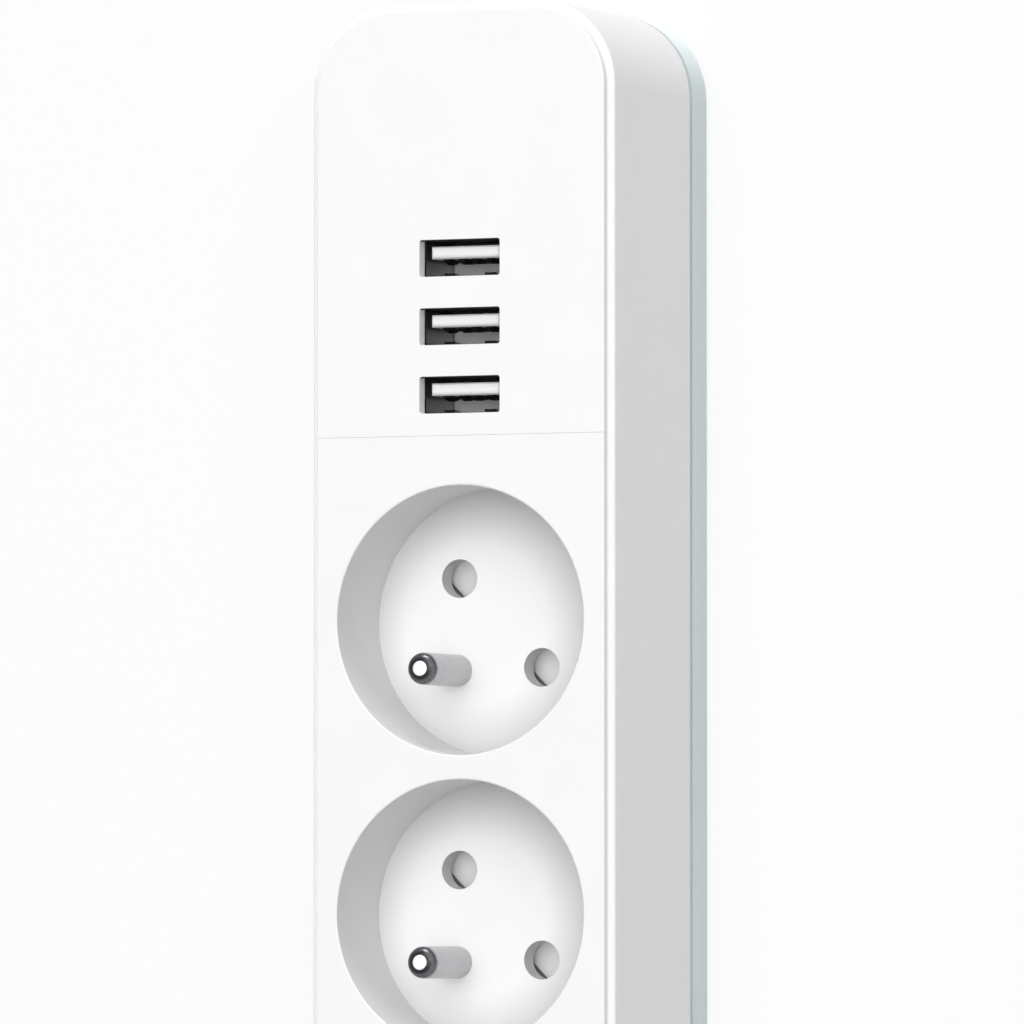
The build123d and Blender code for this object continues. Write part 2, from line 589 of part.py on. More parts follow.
def earth_pin(index):
    """Fixed earth pin, its shoulder on the well floor and its shank riveted to the earth busbar's tab."""
    tip_z = WELL_FLOOR_Z + EARTH_PIN_PROUD
    pin = rod(EARTH_PIN_DIAMETER, WELL_FLOOR_Z, tip_z)
    pin = fillet(edges_at(pin, tip_z), EARTH_TIP_RADIUS)
    pin += rod(EARTH_SHANK, EARTH_TAB_Z, WELL_FLOOR_Z)
    pin += rod(RIVET_HEAD, EARTH_TAB_Z - RIVET_HEIGHT, EARTH_TAB_Z)
    return at_socket(index) * Pos(0, -EARTH_OFFSET, 0) * pin


def contact_spans(side):
    """Outside of one contact in plan, from its open side to the back of its web."""
    x_span = (side * (PIN_X - CONTACT_FRONT), side * CONTACT_OUT_X)
    y_span = around(-side * PIN_Y, PLUG_PIN_DIAMETER - CONTACT_GRIP + 2 * CONTACT_SHEET)
    return x_span, y_span


def contact_clip(side, index):
    """Folded clip that grips one plug pin, open towards the middle of the strip."""
    x_span, y_span = contact_spans(side)
    centre_y = SOCKET_Y[index] - side * PIN_Y
    height = (BACK_FLOOR, CONTACT_TOP_Z)
    clip = block(x_span, around(centre_y, y_span[1] - y_span[0]), height)
    slot_x = (side * (PIN_X - CONTACT_FRONT), side * (PIN_X + CONTACT_BACK))
    return clip - block(slot_x, around(centre_y, PLUG_PIN_DIAMETER - CONTACT_GRIP), height)


def contact_carrier(index):
    """Insulating carrier under one socket: a round plate on two pockets that hold the contacts."""
    carrier = rod(WELL_OUTER, CARRIER_UNDER_Z, CARRIER_TOP_Z)
    height = (BACK_FLOOR, CARRIER_UNDER_Z)
    for side in (-1, 1):
        x_span, y_span = contact_spans(side)
        grow = POCKET_GAP + POCKET_WALL
        wide_x = (x_span[0] - side * grow, x_span[1] + side * grow)
        carrier += block(wide_x, (y_span[0] - grow, y_span[1] + grow), height)
    for side in (-1, 1):
        x_span, y_span = contact_spans(side)
        gap_x = (x_span[0] - side * POCKET_GAP, x_span[1] + side * POCKET_GAP)
        carrier -= block(gap_x, (y_span[0] - POCKET_GAP, y_span[1] + POCKET_GAP), height)
        window_x = (side * CONTACT_OUT_X, side * POCKET_OUT_X)
        window_y = around(-side * PIN_Y, max(WIRE_DIAMETER, LINK_WIDTH) + 2 * WIRE_GAP)
        carrier -= block(window_x, window_y, (BACK_FLOOR, EARTH_TAB_Z))
        carrier -= rod(PIN_HOLE_DIAMETER, CARRIER_UNDER_Z, CARRIER_TOP_Z, side * PIN_X, -side * PIN_Y)
    hole = EARTH_SHANK + 2 * EARTH_HOLE_GAP
    carrier -= rod(hole, CARRIER_UNDER_Z, CARRIER_TOP_Z, EARTH_X, EARTH_Y)
    return Pos(0, SOCKET_Y[index], 0) * carrier


def live_contact(index):
    """Switched live contact of one socket."""
    return contact_clip(-1, index)


def neutral_busbar():
    """Neutral bar with the three neutral clips, from the terminal block to the control board."""
    bar_y = (TERMINAL_HIGH_Y, CONTROL_LOW_Y + BUS_LAP)
    bar = block((BUS_IN_X, BUS_OUT_X), bar_y, (CONTROL_TOP_Z, NEUTRAL_TOP_Z))
    for index in SOCKETS:
        link_y = around(SOCKET_Y[index] - PIN_Y, LINK_WIDTH)
        link = block((CONTACT_OUT_X, BUS_IN_X), link_y, (LINK_Z, LINK_Z + BUS_SHEET))
        bar = bar + contact_clip(1, index) + link
    return bar


def earth_busbar():
    """Earth bar with a tab to each earth pin."""
    bar_y = (TERMINAL_HIGH_Y, SOCKET_Y[0] + EARTH_Y + EARTH_TAB_WIDTH / 2)
    bar = block((-BUS_OUT_X, -BUS_IN_X), bar_y, (EARTH_TAB_TOP_Z - BUS_HEIGHT, EARTH_TAB_TOP_Z))
    for y in SOCKET_Y:
        tab_x = (-BUS_IN_X, EARTH_X + EARTH_TAB_WIDTH / 2)
        bar += block(tab_x, around(y + EARTH_Y, EARTH_TAB_WIDTH), (EARTH_TAB_Z, EARTH_TAB_TOP_Z))
    for y in SOCKET_Y:
        bar -= rod(EARTH_SHANK + 2 * RIVET_GAP, EARTH_TAB_Z, EARTH_TAB_TOP_Z, EARTH_X, y + EARTH_Y)
    return bar


def live_wire(index):
    """Switched live wire from the output header to one live contact."""
    z = WIRE_Z[index]
    end_y = SOCKET_Y[index] + PIN_Y
    path = FilletPolyline(
        (-WIRE_X, CONTROL_LOW_Y, z), (-WIRE_X, end_y, z), (-CONTACT_OUT_X, end_y, z), radius=wire_bend()
    )
    return sweep(Plane(path @ 0, z_dir=path % 0) * Circle(WIRE_DIAMETER / 2), path=path)


def wire_bend():
    """Bend of a live wire, kept inside the short way to its contact."""
    return min(WIRE_BEND, WIRE_X - CONTACT_OUT_X - WIRE_GAP)


def live_feed_wire():
    """Live wire from the terminal block to the input header."""
    return along_y(WIRE_DIAMETER, TERMINAL_HIGH_Y, CONTROL_LOW_Y, WIRE_X, WIRE_Z[0])


def header_spans(side):
    """Plan of a wire header at the low edge of the control board."""
    wide = WIRE_DIAMETER + WIRE_GAP
    return around(side * WIRE_X, wide), (CONTROL_LOW_Y, CONTROL_LOW_Y + HEADER_LENGTH)


def wire_headers():
    """Headers at the control board's edge: one for the live feed, one for the switched live wires."""
    out_x, y_span = header_spans(-1)
    in_x = header_spans(1)[0]
    top = max(WIRE_Z[-1] + WIRE_DIAMETER / 2, CONTROL_TOP_Z) + HEADER_WALL
    return Compound([block(x_span, y_span, (BACK_FLOOR, top)) for x_span in (out_x, in_x)])


def control_board():
    """Main circuit board on the back cover."""
    board = block((-CONTROL_HALF, CONTROL_HALF), (CONTROL_LOW_Y, CONTROL_HIGH_Y), (CONTROL_Z, CONTROL_TOP_Z))
    for y in CONTROL_POST_Y:
        for x in (-CONTROL_POST_X, CONTROL_POST_X):
            board -= rod(BOARD_SCREW_DIAMETER + 2 * BOARD_SCREW_CLEARANCE, CONTROL_Z, CONTROL_TOP_Z, x, y)
    for side in (-1, 1):
        x_span, y_span = header_spans(side)
        x_span = (x_span[0] - BOARD_SCREW_CLEARANCE, x_span[1] + BOARD_SCREW_CLEARANCE)
        board -= block(x_span, (y_span[0], y_span[1] + BOARD_SCREW_CLEARANCE), (CONTROL_Z, CONTROL_TOP_Z))
    return board


def top_of(height):
    """Top of a component on the control board, kept under the USB board."""
    return min(CONTROL_TOP_Z + height, PART_TOP_Z)


def relays():
    """Three relays side by side, one for each socket."""
    top = top_of(RELAY_HEIGHT)
    cases = []
    for x in RELAY_X:
        case = block(around(x, RELAY_WIDTH), (RELAY_LOW_Y, RELAY_HIGH_Y), (CONTROL_TOP_Z, top))
        cases.append(chamfer(edges_at(case, top), RELAY_EDGE))
    return Compound(cases)


def transformer():
    """Transformer of the mains supply: two flanges and a wound waist."""
    x_span = around(TRANSFORMER_X, TRANSFORMER_WIDTH)
    y_span = (ROW_Y - TRANSFORMER_LENGTH, ROW_Y)
    top = top_of(TRANSFORMER_HEIGHT)
    core = block(x_span, y_span, (CONTROL_TOP_Z, top))
    for side in (-1, 1):
        cheek = TRANSFORMER_X + side * TRANSFORMER_WIDTH / 2
        waist_y = (y_span[0] + TRANSFORMER_FLANGE, y_span[1] - TRANSFORMER_FLANGE)
        core -= block((cheek, cheek - side * TRANSFORMER_WAIST), waist_y, (CONTROL_TOP_Z, top))
    return core


def capacitors():
    """Two supply capacitors standing on the control board."""
    cans = []
    for index in (0, 1):
        y = ROW_Y - CAPACITOR_DIAMETER / 2 - index * (CAPACITOR_DIAMETER + PART_GAP)
        top = top_of(CAPACITOR_HEIGHT)
        can = rod(CAPACITOR_DIAMETER, CONTROL_TOP_Z, top, CAPACITOR_X, y)
        cans.append(fillet(edges_at(can, top), CAPACITOR_EDGE))
    return Compound(cans)


def fuse():
    """Cartridge fuse lying on the control board, with its end caps."""
    z = CONTROL_TOP_Z + FUSE_DIAMETER / 2
    body = along_y(FUSE_DIAMETER - 2 * FUSE_CAP_EDGE, ROW_Y - FUSE_LENGTH, ROW_Y, FUSE_X, z)
    for low in (ROW_Y - FUSE_LENGTH, ROW_Y - FUSE_CAP):
        body += along_y(FUSE_DIAMETER, low, low + FUSE_CAP, FUSE_X, z)
    return body


def varistor():
    """Surge varistor: a disc standing on the control board."""
    y = ROW_Y - VARISTOR_DIAMETER / 2
    z = CONTROL_TOP_Z + VARISTOR_DIAMETER / 2
    disc = Pos(VARISTOR_X, y, z) * Rot(0, 90, 0) * Cylinder(VARISTOR_DIAMETER / 2, VARISTOR_THICKNESS)
    foot = block(
        around(VARISTOR_X, VARISTOR_THICKNESS), around(y, VARISTOR_THICKNESS), (CONTROL_TOP_Z, z)
    )
    return disc + foot


def wireless_module():
    """Wireless module standing on the control board, with its shield can."""
    x_span = around(0, MODULE_WIDTH)
    top = CONTROL_TOP_Z + MODULE_HEIGHT
    module = block(x_span, (MODULE_Y - MODULE_SHEET, MODULE_Y), (CONTROL_TOP_Z, top))
    shield_z = (CONTROL_TOP_Z + PART_GAP, CONTROL_TOP_Z + PART_GAP + SHIELD_HEIGHT)
    return module + block(around(0, SHIELD_WIDTH), (MODULE_Y, MODULE_Y + SHIELD_DEPTH), shield_z)


def board_link():
    """Pin header block that joins the control board and the USB board."""
    y_span = (LINK_HIGH_Y - LINK_BLOCK_DEPTH, LINK_HIGH_Y)
    return block(around(0, LINK_BLOCK_WIDTH), y_span, (CONTROL_TOP_Z, USB_BOARD_Z))


def usb_board():
    """Circuit board of the USB ports, under the USB panel."""
    y_span = (min(USB_BOARD_LOW_Y, LINK_HIGH_Y - LINK_BLOCK_DEPTH - PART_GAP), USB_BOARD_HIGH_Y)
    board = block((-USB_BOARD_HALF, USB_BOARD_HALF), y_span, (USB_BOARD_Z, USB_BOARD_TOP_Z))
    for x in (-USB_POST_X, USB_POST_X):
        hole = BOARD_SCREW_DIAMETER + 2 * BOARD_SCREW_CLEARANCE
        board -= rod(hole, USB_BOARD_Z, USB_BOARD_TOP_Z, x, USB_MIDDLE_Y)
    return board


def usb_shell(index):
    """Steel shell of one USB port, with two spring fingers in its lower wall."""
    tube = RectangleRounded(USB_SHELL_WIDTH, USB_SHELL_HEIGHT, 2 * USB_SHELL_SHEET)
    tube -= RectangleRounded(USB_INNER_WIDTH, USB_INNER_HEIGHT, USB_SHELL_SHEET)
    shell = prism(tube, USB_BOARD_TOP_Z, USB_MOUTH_Z)
    high = USB_MOUTH_Z - USB_FINGER_INSET
    low = high - USB_FINGER_LENGTH
    outer = -USB_SHELL_HEIGHT / 2
    inner = -USB_INNER_HEIGHT / 2
    leaf = Polygon(
        (outer, low - USB_SHELL_SHEET),
        (inner, low - USB_SHELL_SHEET),
        (inner + USB_FINGER_SPRING, high - USB_FINGER_SPRING),
        (inner, high - USB_FINGER_SLOT),
        (outer, high - USB_FINGER_SLOT),
        (outer + USB_FINGER_SPRING, high - USB_FINGER_SPRING - USB_FINGER_SLOT),
        align=None,
    )
    finger = extrude(Plane.YZ * leaf, USB_FINGER_WIDTH / 2, both=True)
    window_x = USB_FINGER_WIDTH + 2 * USB_FINGER_SLOT
    for x in around(0, USB_FINGER_SPREAD):
        shell -= block(around(x, window_x), (outer, inner), (low, high))
        shell += Pos(x, 0, 0) * finger
    return Pos(0, USB_PORT_Y[index], 0) * shell


def usb_tongue(index):
    """Insulator of one USB port: its base and its contact tongue."""
    base_x = around(0, USB_INNER_WIDTH - 2 * USB_BASE_GAP)
    base_y = around(0, USB_INNER_HEIGHT - 2 * USB_BASE_GAP)
    base = block(base_x, base_y, (USB_BOARD_TOP_Z, USB_BOARD_TOP_Z + USB_BASE))
    face_y = USB_INNER_HEIGHT / 2 - USB_TONGUE_GAP
    tip_z = USB_MOUTH_Z - USB_TONGUE_INSET
    blade_y = (face_y - USB_TONGUE_THICKNESS, face_y)
    blade = block(around(0, USB_TONGUE_WIDTH), blade_y, (USB_BOARD_TOP_Z, tip_z))
    blade = chamfer(edges_at(blade, tip_z), USB_TONGUE_THICKNESS / 8)
    return Pos(0, USB_PORT_Y[index], 0) * (base + blade)


def usb_contacts(index):
    """Four sprung contacts under the tongue of one USB port."""
    face_y = USB_INNER_HEIGHT / 2 - USB_TONGUE_GAP - USB_TONGUE_THICKNESS
    low = USB_BOARD_TOP_Z + USB_BASE
    high = USB_MOUTH_Z - USB_TONGUE_INSET - USB_CONTACT_INSET
    leaf = Polygon(
        (face_y, low),
        (face_y, high),
        (face_y - USB_CONTACT_SHEET, high),
        (face_y - USB_CONTACT_SPRING, high - USB_CONTACT_LENGTH / 2),
        (face_y - USB_CONTACT_SHEET, high - USB_CONTACT_LENGTH),
        (face_y - USB_CONTACT_SHEET, low),
        align=None,
    )
    strip = extrude(Plane.YZ * leaf, USB_CONTACT_WIDTH / 2, both=True)
    places = around(0, USB_CONTACT_OUTER) + around(0, USB_CONTACT_INNER)
    return Compound([Pos(x, USB_PORT_Y[index], 0) * strip for x in places])


def cover_screws():
    """Screws from the back cover into the bosses of the front panels."""
    length = POST_TOP_Z - HEAD_SEAT_Z + SCREW_BITE
    one = screw(SCREW_DIAMETER, SCREW_HEAD_DIAMETER, SCREW_HEAD_HEIGHT, length, SCREW_SLOT)
    return Compound([Pos(x, y, HEAD_SEAT_Z) * one for x, y in SOCKET_BOSSES + USB_BOSSES])


def board_screws():
    """Screws of the three circuit boards."""
    bite = BOARD_SCREW_BITE - BOARD_SCREW_CLEARANCE
    slot = BOARD_SCREW_DIAMETER / 4
    one = screw(BOARD_SCREW_DIAMETER, BOARD_SCREW_HEAD, BOARD_SCREW_HEAD_HEIGHT, BOARD + bite, slot)
    placed = []
    for x in (-USB_POST_X, USB_POST_X):
        placed.append(Pos(x, USB_MIDDLE_Y, USB_BOARD_Z) * one)
    for x in (-BUTTON_POST_X, BUTTON_POST_X):
        placed.append(Pos(x, BUTTON_Y, BUTTON_BOARD_Z) * one)
    for y in CONTROL_POST_Y:
        for x in (-CONTROL_POST_X, CONTROL_POST_X):
            placed.append(Pos(x, y, CONTROL_TOP_Z) * Rot(180, 0, 0) * one)
    return Compound(placed)


def power_button():
    """Push button with the flange that keeps it under the panel, and its stem."""
    top = FACE_Z + BUTTON_PROUD
    cap = rod(BUTTON_DIAMETER, LEDGE_Z, top, 0, BUTTON_Y)
    cap = fillet(edges_at(cap, top), BUTTON_EDGE)
    cap += rod(BUTTON_FLANGE, LEDGE_Z - BUTTON_FLANGE_THICKNESS, LEDGE_Z, 0, BUTTON_Y)
    stem_z = PLUNGER_TOP_Z + BUTTON_TRAVEL + BUTTON_SPARE
    return cap + rod(BUTTON_STEM, stem_z, LEDGE_Z - BUTTON_FLANGE_THICKNESS, 0, BUTTON_Y)


def button_spring():
    """Return spring between the button's flange and its board, around the switch."""
    length = LEDGE_Z - BUTTON_FLANGE_THICKNESS - BUTTON_BOARD_TOP_Z
    spring = coil(BUTTON_SPRING_DIAMETER, SPRING_WIRE, BUTTON_SPRING_TURNS, length)
    return Pos(0, BUTTON_Y, BUTTON_BOARD_TOP_Z) * spring


def button_board():
    """Circuit board of the button and the indicator, under the socket panel."""
    board = block(
        (-BUTTON_BOARD_HALF, BUTTON_BOARD_HALF),
        (BUTTON_BOARD_LOW_Y, BUTTON_BOARD_HIGH_Y),
        (BUTTON_BOARD_Z, BUTTON_BOARD_TOP_Z),
    )
    for x in (-BUTTON_POST_X, BUTTON_POST_X):
        hole = BOARD_SCREW_DIAMETER + 2 * BOARD_SCREW_CLEARANCE
        board -= rod(hole, BUTTON_BOARD_Z, BUTTON_BOARD_TOP_Z, x, BUTTON_Y)
    return board


def tact_switch():
    """Switch under the button, with its plunger."""
    side = around(0, SWITCH_SIDE)
    top = BUTTON_BOARD_TOP_Z + SWITCH_HEIGHT
    case = block(side, around(BUTTON_Y, SWITCH_SIDE), (BUTTON_BOARD_TOP_Z, top))
    return case + rod(PLUNGER_DIAMETER, top, PLUNGER_TOP_Z, 0, BUTTON_Y)


def light_guide():
    """Clear guide that brings the indicator light to the front face."""
    low = BUTTON_BOARD_TOP_Z + LED_HEIGHT + LED_GAP
    guide = rod(GUIDE_DIAMETER, low, FACE_Z, 0, GUIDE_Y)
    return guide + rod(GUIDE_FLANGE, LEDGE_Z - GUIDE_FLANGE_THICKNESS, LEDGE_Z, 0, GUIDE_Y)


def status_led():
    """Indicator light on the button board."""
    z_span = (BUTTON_BOARD_TOP_Z, BUTTON_BOARD_TOP_Z + LED_HEIGHT)
    return block(around(0, LED_LENGTH), around(GUIDE_Y, LED_WIDTH), z_span)


def cord_gland():
    """Grommet in the cord end of the body: flange outside, lip inside and a short sleeve."""
    flange_end = CORD_END_Y + GLAND_FLANGE_THICKNESS
    lip_low = CORD_END_Y + BODY_WALL
    lip_high = lip_low + GLAND_LIP_THICKNESS
    end = lip_high + GLAND_SLEEVE
    gland = along_y(GLAND_FLANGE, CORD_END_Y, flange_end, 0, GLAND_Z)
    gland += along_y(GLAND_NECK, flange_end, lip_low, 0, GLAND_Z)
    gland += along_y(GLAND_LIP, lip_low, lip_high, 0, GLAND_Z)
    gland += along_y(GLAND_NECK, lip_high, end, 0, GLAND_Z)
    gland -= along_y(GLAND_BORE, CORD_END_Y, end, 0, GLAND_Z)
    mouth = gland.edges().filter_by(GeomType.CIRCLE).group_by(Axis.Y)[0]
    return chamfer([edge for edge in mouth if edge.radius < GLAND_NECK / 2], GLAND_EDGE)


def terminal_block():
    """Block that the cord's cores are clamped in, on the back cover."""
    y_span = (TERMINAL_LOW_Y, TERMINAL_HIGH_Y)
    body = block((-TERMINAL_HALF, TERMINAL_HALF), y_span, (BACK_FLOOR, TERMINAL_TOP_Z))
    body = chamfer(edges_at(body, TERMINAL_TOP_Z), TERMINAL_SCREW_SLOT)
    channel = CABLE_WIDTH + 2 * CABLE_GAP
    body -= block(around(0, channel), y_span, (BACK_FLOOR, BACK_FLOOR + CABLE_THICKNESS + 2 * CABLE_GAP))
    entry_z = (BACK_FLOOR + TERMINAL_TOP_Z) / 2
    middle_y = sum(y_span) / 2
    seat = TERMINAL_TOP_Z - TERMINAL_SCREW_SINK - TERMINAL_SCREW_LENGTH
    for x in TERMINAL_X:
        body -= along_y(TERMINAL_ENTRY, TERMINAL_LOW_Y, TERMINAL_LOW_Y + TERMINAL_ENTRY_DEPTH, x, entry_z)
        body -= rod(TERMINAL_SCREW + 2 * TERMINAL_SCREW_GAP, seat, TERMINAL_TOP_Z, x, middle_y)
    return body


def terminal_screws():
    """Clamp screws of the terminal block."""
    top = TERMINAL_TOP_Z - TERMINAL_SCREW_SINK
    middle_y = (TERMINAL_LOW_Y + TERMINAL_HIGH_Y) / 2
    one = rod(TERMINAL_SCREW, top - TERMINAL_SCREW_LENGTH, top)
    one = chamfer(edges_at(one, top), TERMINAL_SCREW_SLOT / 4)
    one -= block(around(0, TERMINAL_SCREW), around(0, TERMINAL_SCREW_SLOT), (top - TERMINAL_SCREW_SLOT, top))
    return Compound([Pos(x, middle_y, 0) * one for x in TERMINAL_X])


def button_cable():
    """Flat cable from the control board to the button board, along the floor of the back cover."""
    z = BACK_FLOOR + CABLE_GAP + CABLE_THICKNESS / 2
    start_y = CONTROL_LOW_Y + HEADER_LENGTH
    path = FilletPolyline(
        (0, start_y, CONTROL_Z),
        (0, start_y, z),
        (0, CABLE_RISE_Y, z),
        (0, CABLE_RISE_Y, BUTTON_BOARD_Z),
        radius=min(CABLE_BEND, CONTROL_Z - z - CABLE_GAP),
    )
    section = Plane(path @ 0, x_dir=(1, 0, 0), z_dir=path % 0) * Rectangle(CABLE_WIDTH, CABLE_THICKNESS)
    return sweep(section, path=path)


SINGLE_PIECES = (
    back_cover, body_shell, socket_panel, usb_panel, cover_screws, board_screws, neutral_busbar, earth_busbar,
    live_feed_wire, wire_headers, control_board, relays, transformer, capacitors, fuse, varistor,
    wireless_module, board_link, usb_board, power_button, button_spring, button_board, tact_switch,
    light_guide, status_led, cord_gland, terminal_block, terminal_screws, button_cable,
)
SOCKET_PIECES = (
    socket_insert, shutter, shutter_spring, earth_pin, contact_carrier, live_contact, live_wire,
)
PORT_PIECES = (usb_shell, usb_tongue, usb_contacts)


def main():
    """Make every piece and write it as a STEP file of its own."""
    os.makedirs("parts", exist_ok=True)
    for make in SINGLE_PIECES:
        export_step(make(), f"parts/{make.__name__}.step")
    for make in SOCKET_PIECES:
        for index in SOCKETS:
            export_step(make(index), f"parts/{make.__name__}_{index + 1}.step")
    for make in PORT_PIECES:
        for index in USB_PORTS:
            export_step(make(index), f"parts/{make.__name__}_{index + 1}.step")


if __name__ == "__main__":
    main()
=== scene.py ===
"""Smart power strip: the finish of every piece, the wound springs and a small studio.

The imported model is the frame, in metres: X across the strip, Y along it towards the USB end,
Z up out of the front face, with the back of the strip on the floor.
"""
import math

import bpy
from bpy.props import FloatProperty, FloatVectorProperty, IntProperty, PointerProperty
from bpy.types import NodeSocket, Operator, Panel, PropertyGroup
from mathutils import Matrix, Vector
from mathutils.geometry import convex_hull_2d


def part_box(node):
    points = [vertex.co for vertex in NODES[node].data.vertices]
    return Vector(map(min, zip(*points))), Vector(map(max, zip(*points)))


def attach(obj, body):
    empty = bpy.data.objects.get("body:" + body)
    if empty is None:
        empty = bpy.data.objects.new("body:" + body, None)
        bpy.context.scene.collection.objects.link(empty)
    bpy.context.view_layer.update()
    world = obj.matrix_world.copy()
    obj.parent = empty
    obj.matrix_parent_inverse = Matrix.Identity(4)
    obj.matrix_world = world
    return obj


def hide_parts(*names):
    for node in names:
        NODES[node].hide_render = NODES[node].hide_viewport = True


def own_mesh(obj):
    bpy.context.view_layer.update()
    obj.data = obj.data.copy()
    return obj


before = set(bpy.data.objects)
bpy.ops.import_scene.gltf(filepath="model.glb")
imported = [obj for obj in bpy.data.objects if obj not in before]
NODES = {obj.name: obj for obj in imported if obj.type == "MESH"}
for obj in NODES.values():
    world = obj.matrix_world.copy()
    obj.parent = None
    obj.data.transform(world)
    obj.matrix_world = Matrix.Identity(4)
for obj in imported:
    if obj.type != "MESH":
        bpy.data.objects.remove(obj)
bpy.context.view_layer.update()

bl_info = {
    "name": "Smart power strip",
    "version": (1, 0, 0),
    "blender": (4, 5, 0),
    "location": "3D View > Sidebar > Power strip",
    "description": "Finishes the pieces of a power strip, winds its springs and sets up a studio",
    "category": "Object",
}

MM = 0.001
ACROSS, ALONG, UP = range(3)
SOCKET_NUMBERS = (1, 2, 3)
PORT_NUMBERS = (1, 2, 3)

# Values that many node trees share
BLACK = (0.0, 0.0, 0.0)
WHITE = (1.0, 1.0, 1.0)
METAL = {"Metallic": 1.0}
FINE_DETAIL = 3.0
SHOWN_RAYS = ("Is Camera Ray", "Is Glossy Ray", "Is Transmission Ray")

# Sockets of a colour mix node go by number, because it has several of the same name
MIX_FACTOR, MIX_FIRST, MIX_SECOND = 0, 6, 7
MIX_RESULT = 2

# Values of a noise between which one tone gives way to another
SOFT_STOPS = (0.3, 0.7)
TAPE_STOPS = (0.35, 0.65)

# How far a surface faces along an axis, from -1 to 1, where one tone gives way to another; these bound
# painted light, shade and reflection
WALL_TO_FACE = (0.2, 0.7)
FACING_CORD_END = (-0.7, -0.2)
FACING_USB_END = (0.2, 0.9)
UPRIGHT_TO_SLANTED = (0.04, 0.06)
SLANTED_TO_FLAT = 0.97
SHAFT_TO_CROWN = (0.1, 0.45)

# How far the earth pin's crown faces up, with how much lighter than its ring it is there: the dark ring
# and bright tip are a painted reflection
PIN_CROWN = ((0.45, 9.0), (0.78, 5.0), (0.90, 1.5), (0.984, 1.0))
CROWN_TO_TIP = 0.996

# Distances from a port's lip or base between which one tone gives way to another, for the painted shade
# there
PORT_EDGE = (0.1 * MM, 0.2 * MM)

# Widths over which one tone gives way to another
SLEEVE_EDGE = 0.05 * MM
SHIELD_EDGE = 0.04 * MM

# Meshes of the springs, and the camera's reach
WIRE_SIDES = 10
STEPS_IN_A_TURN = 28
CAMERA_REACH = 100.0


def numbered(name, numbers):
    """Names of a piece that is there once for each socket or port."""
    return [f"{name}_{number}" for number in numbers]


def colour(name, description, value):
    """A colour that a user can change."""
    return FloatVectorProperty(
        name=name, description=description, default=value, size=3, min=0.0, max=1.0, subtype="COLOR"
    )


def share(name, description, value):
    """A plain share from 0 to 1."""
    return FloatProperty(
        name=name, description=description, default=value, min=0.0, max=1.0, subtype="FACTOR"
    )


def gain(name, description, value):
    """How many times lighter a tone is made."""
    return FloatProperty(name=name, description=description, default=value, min=1.0)


def length(name, description, value, least=0.0):
    """A length in metres."""
    return FloatProperty(
        name=name, description=description, default=value, min=least, precision=6,
        subtype="DISTANCE", unit="LENGTH",
    )


def point(name, description, value):
    """A point in the frame."""
    return FloatVectorProperty(
        name=name, description=description, default=value, size=3, precision=6,
        subtype="TRANSLATION", unit="LENGTH",
    )


def winding(name, description, value):
    """The number of turns in a spring."""
    return IntProperty(name=name, description=description, default=value, min=2)


def watts(name, description, value):
    """The power of a lamp in watts."""
    return FloatProperty(
        name=name, description=description, default=value, min=0.0, subtype="POWER", unit="POWER"
    )


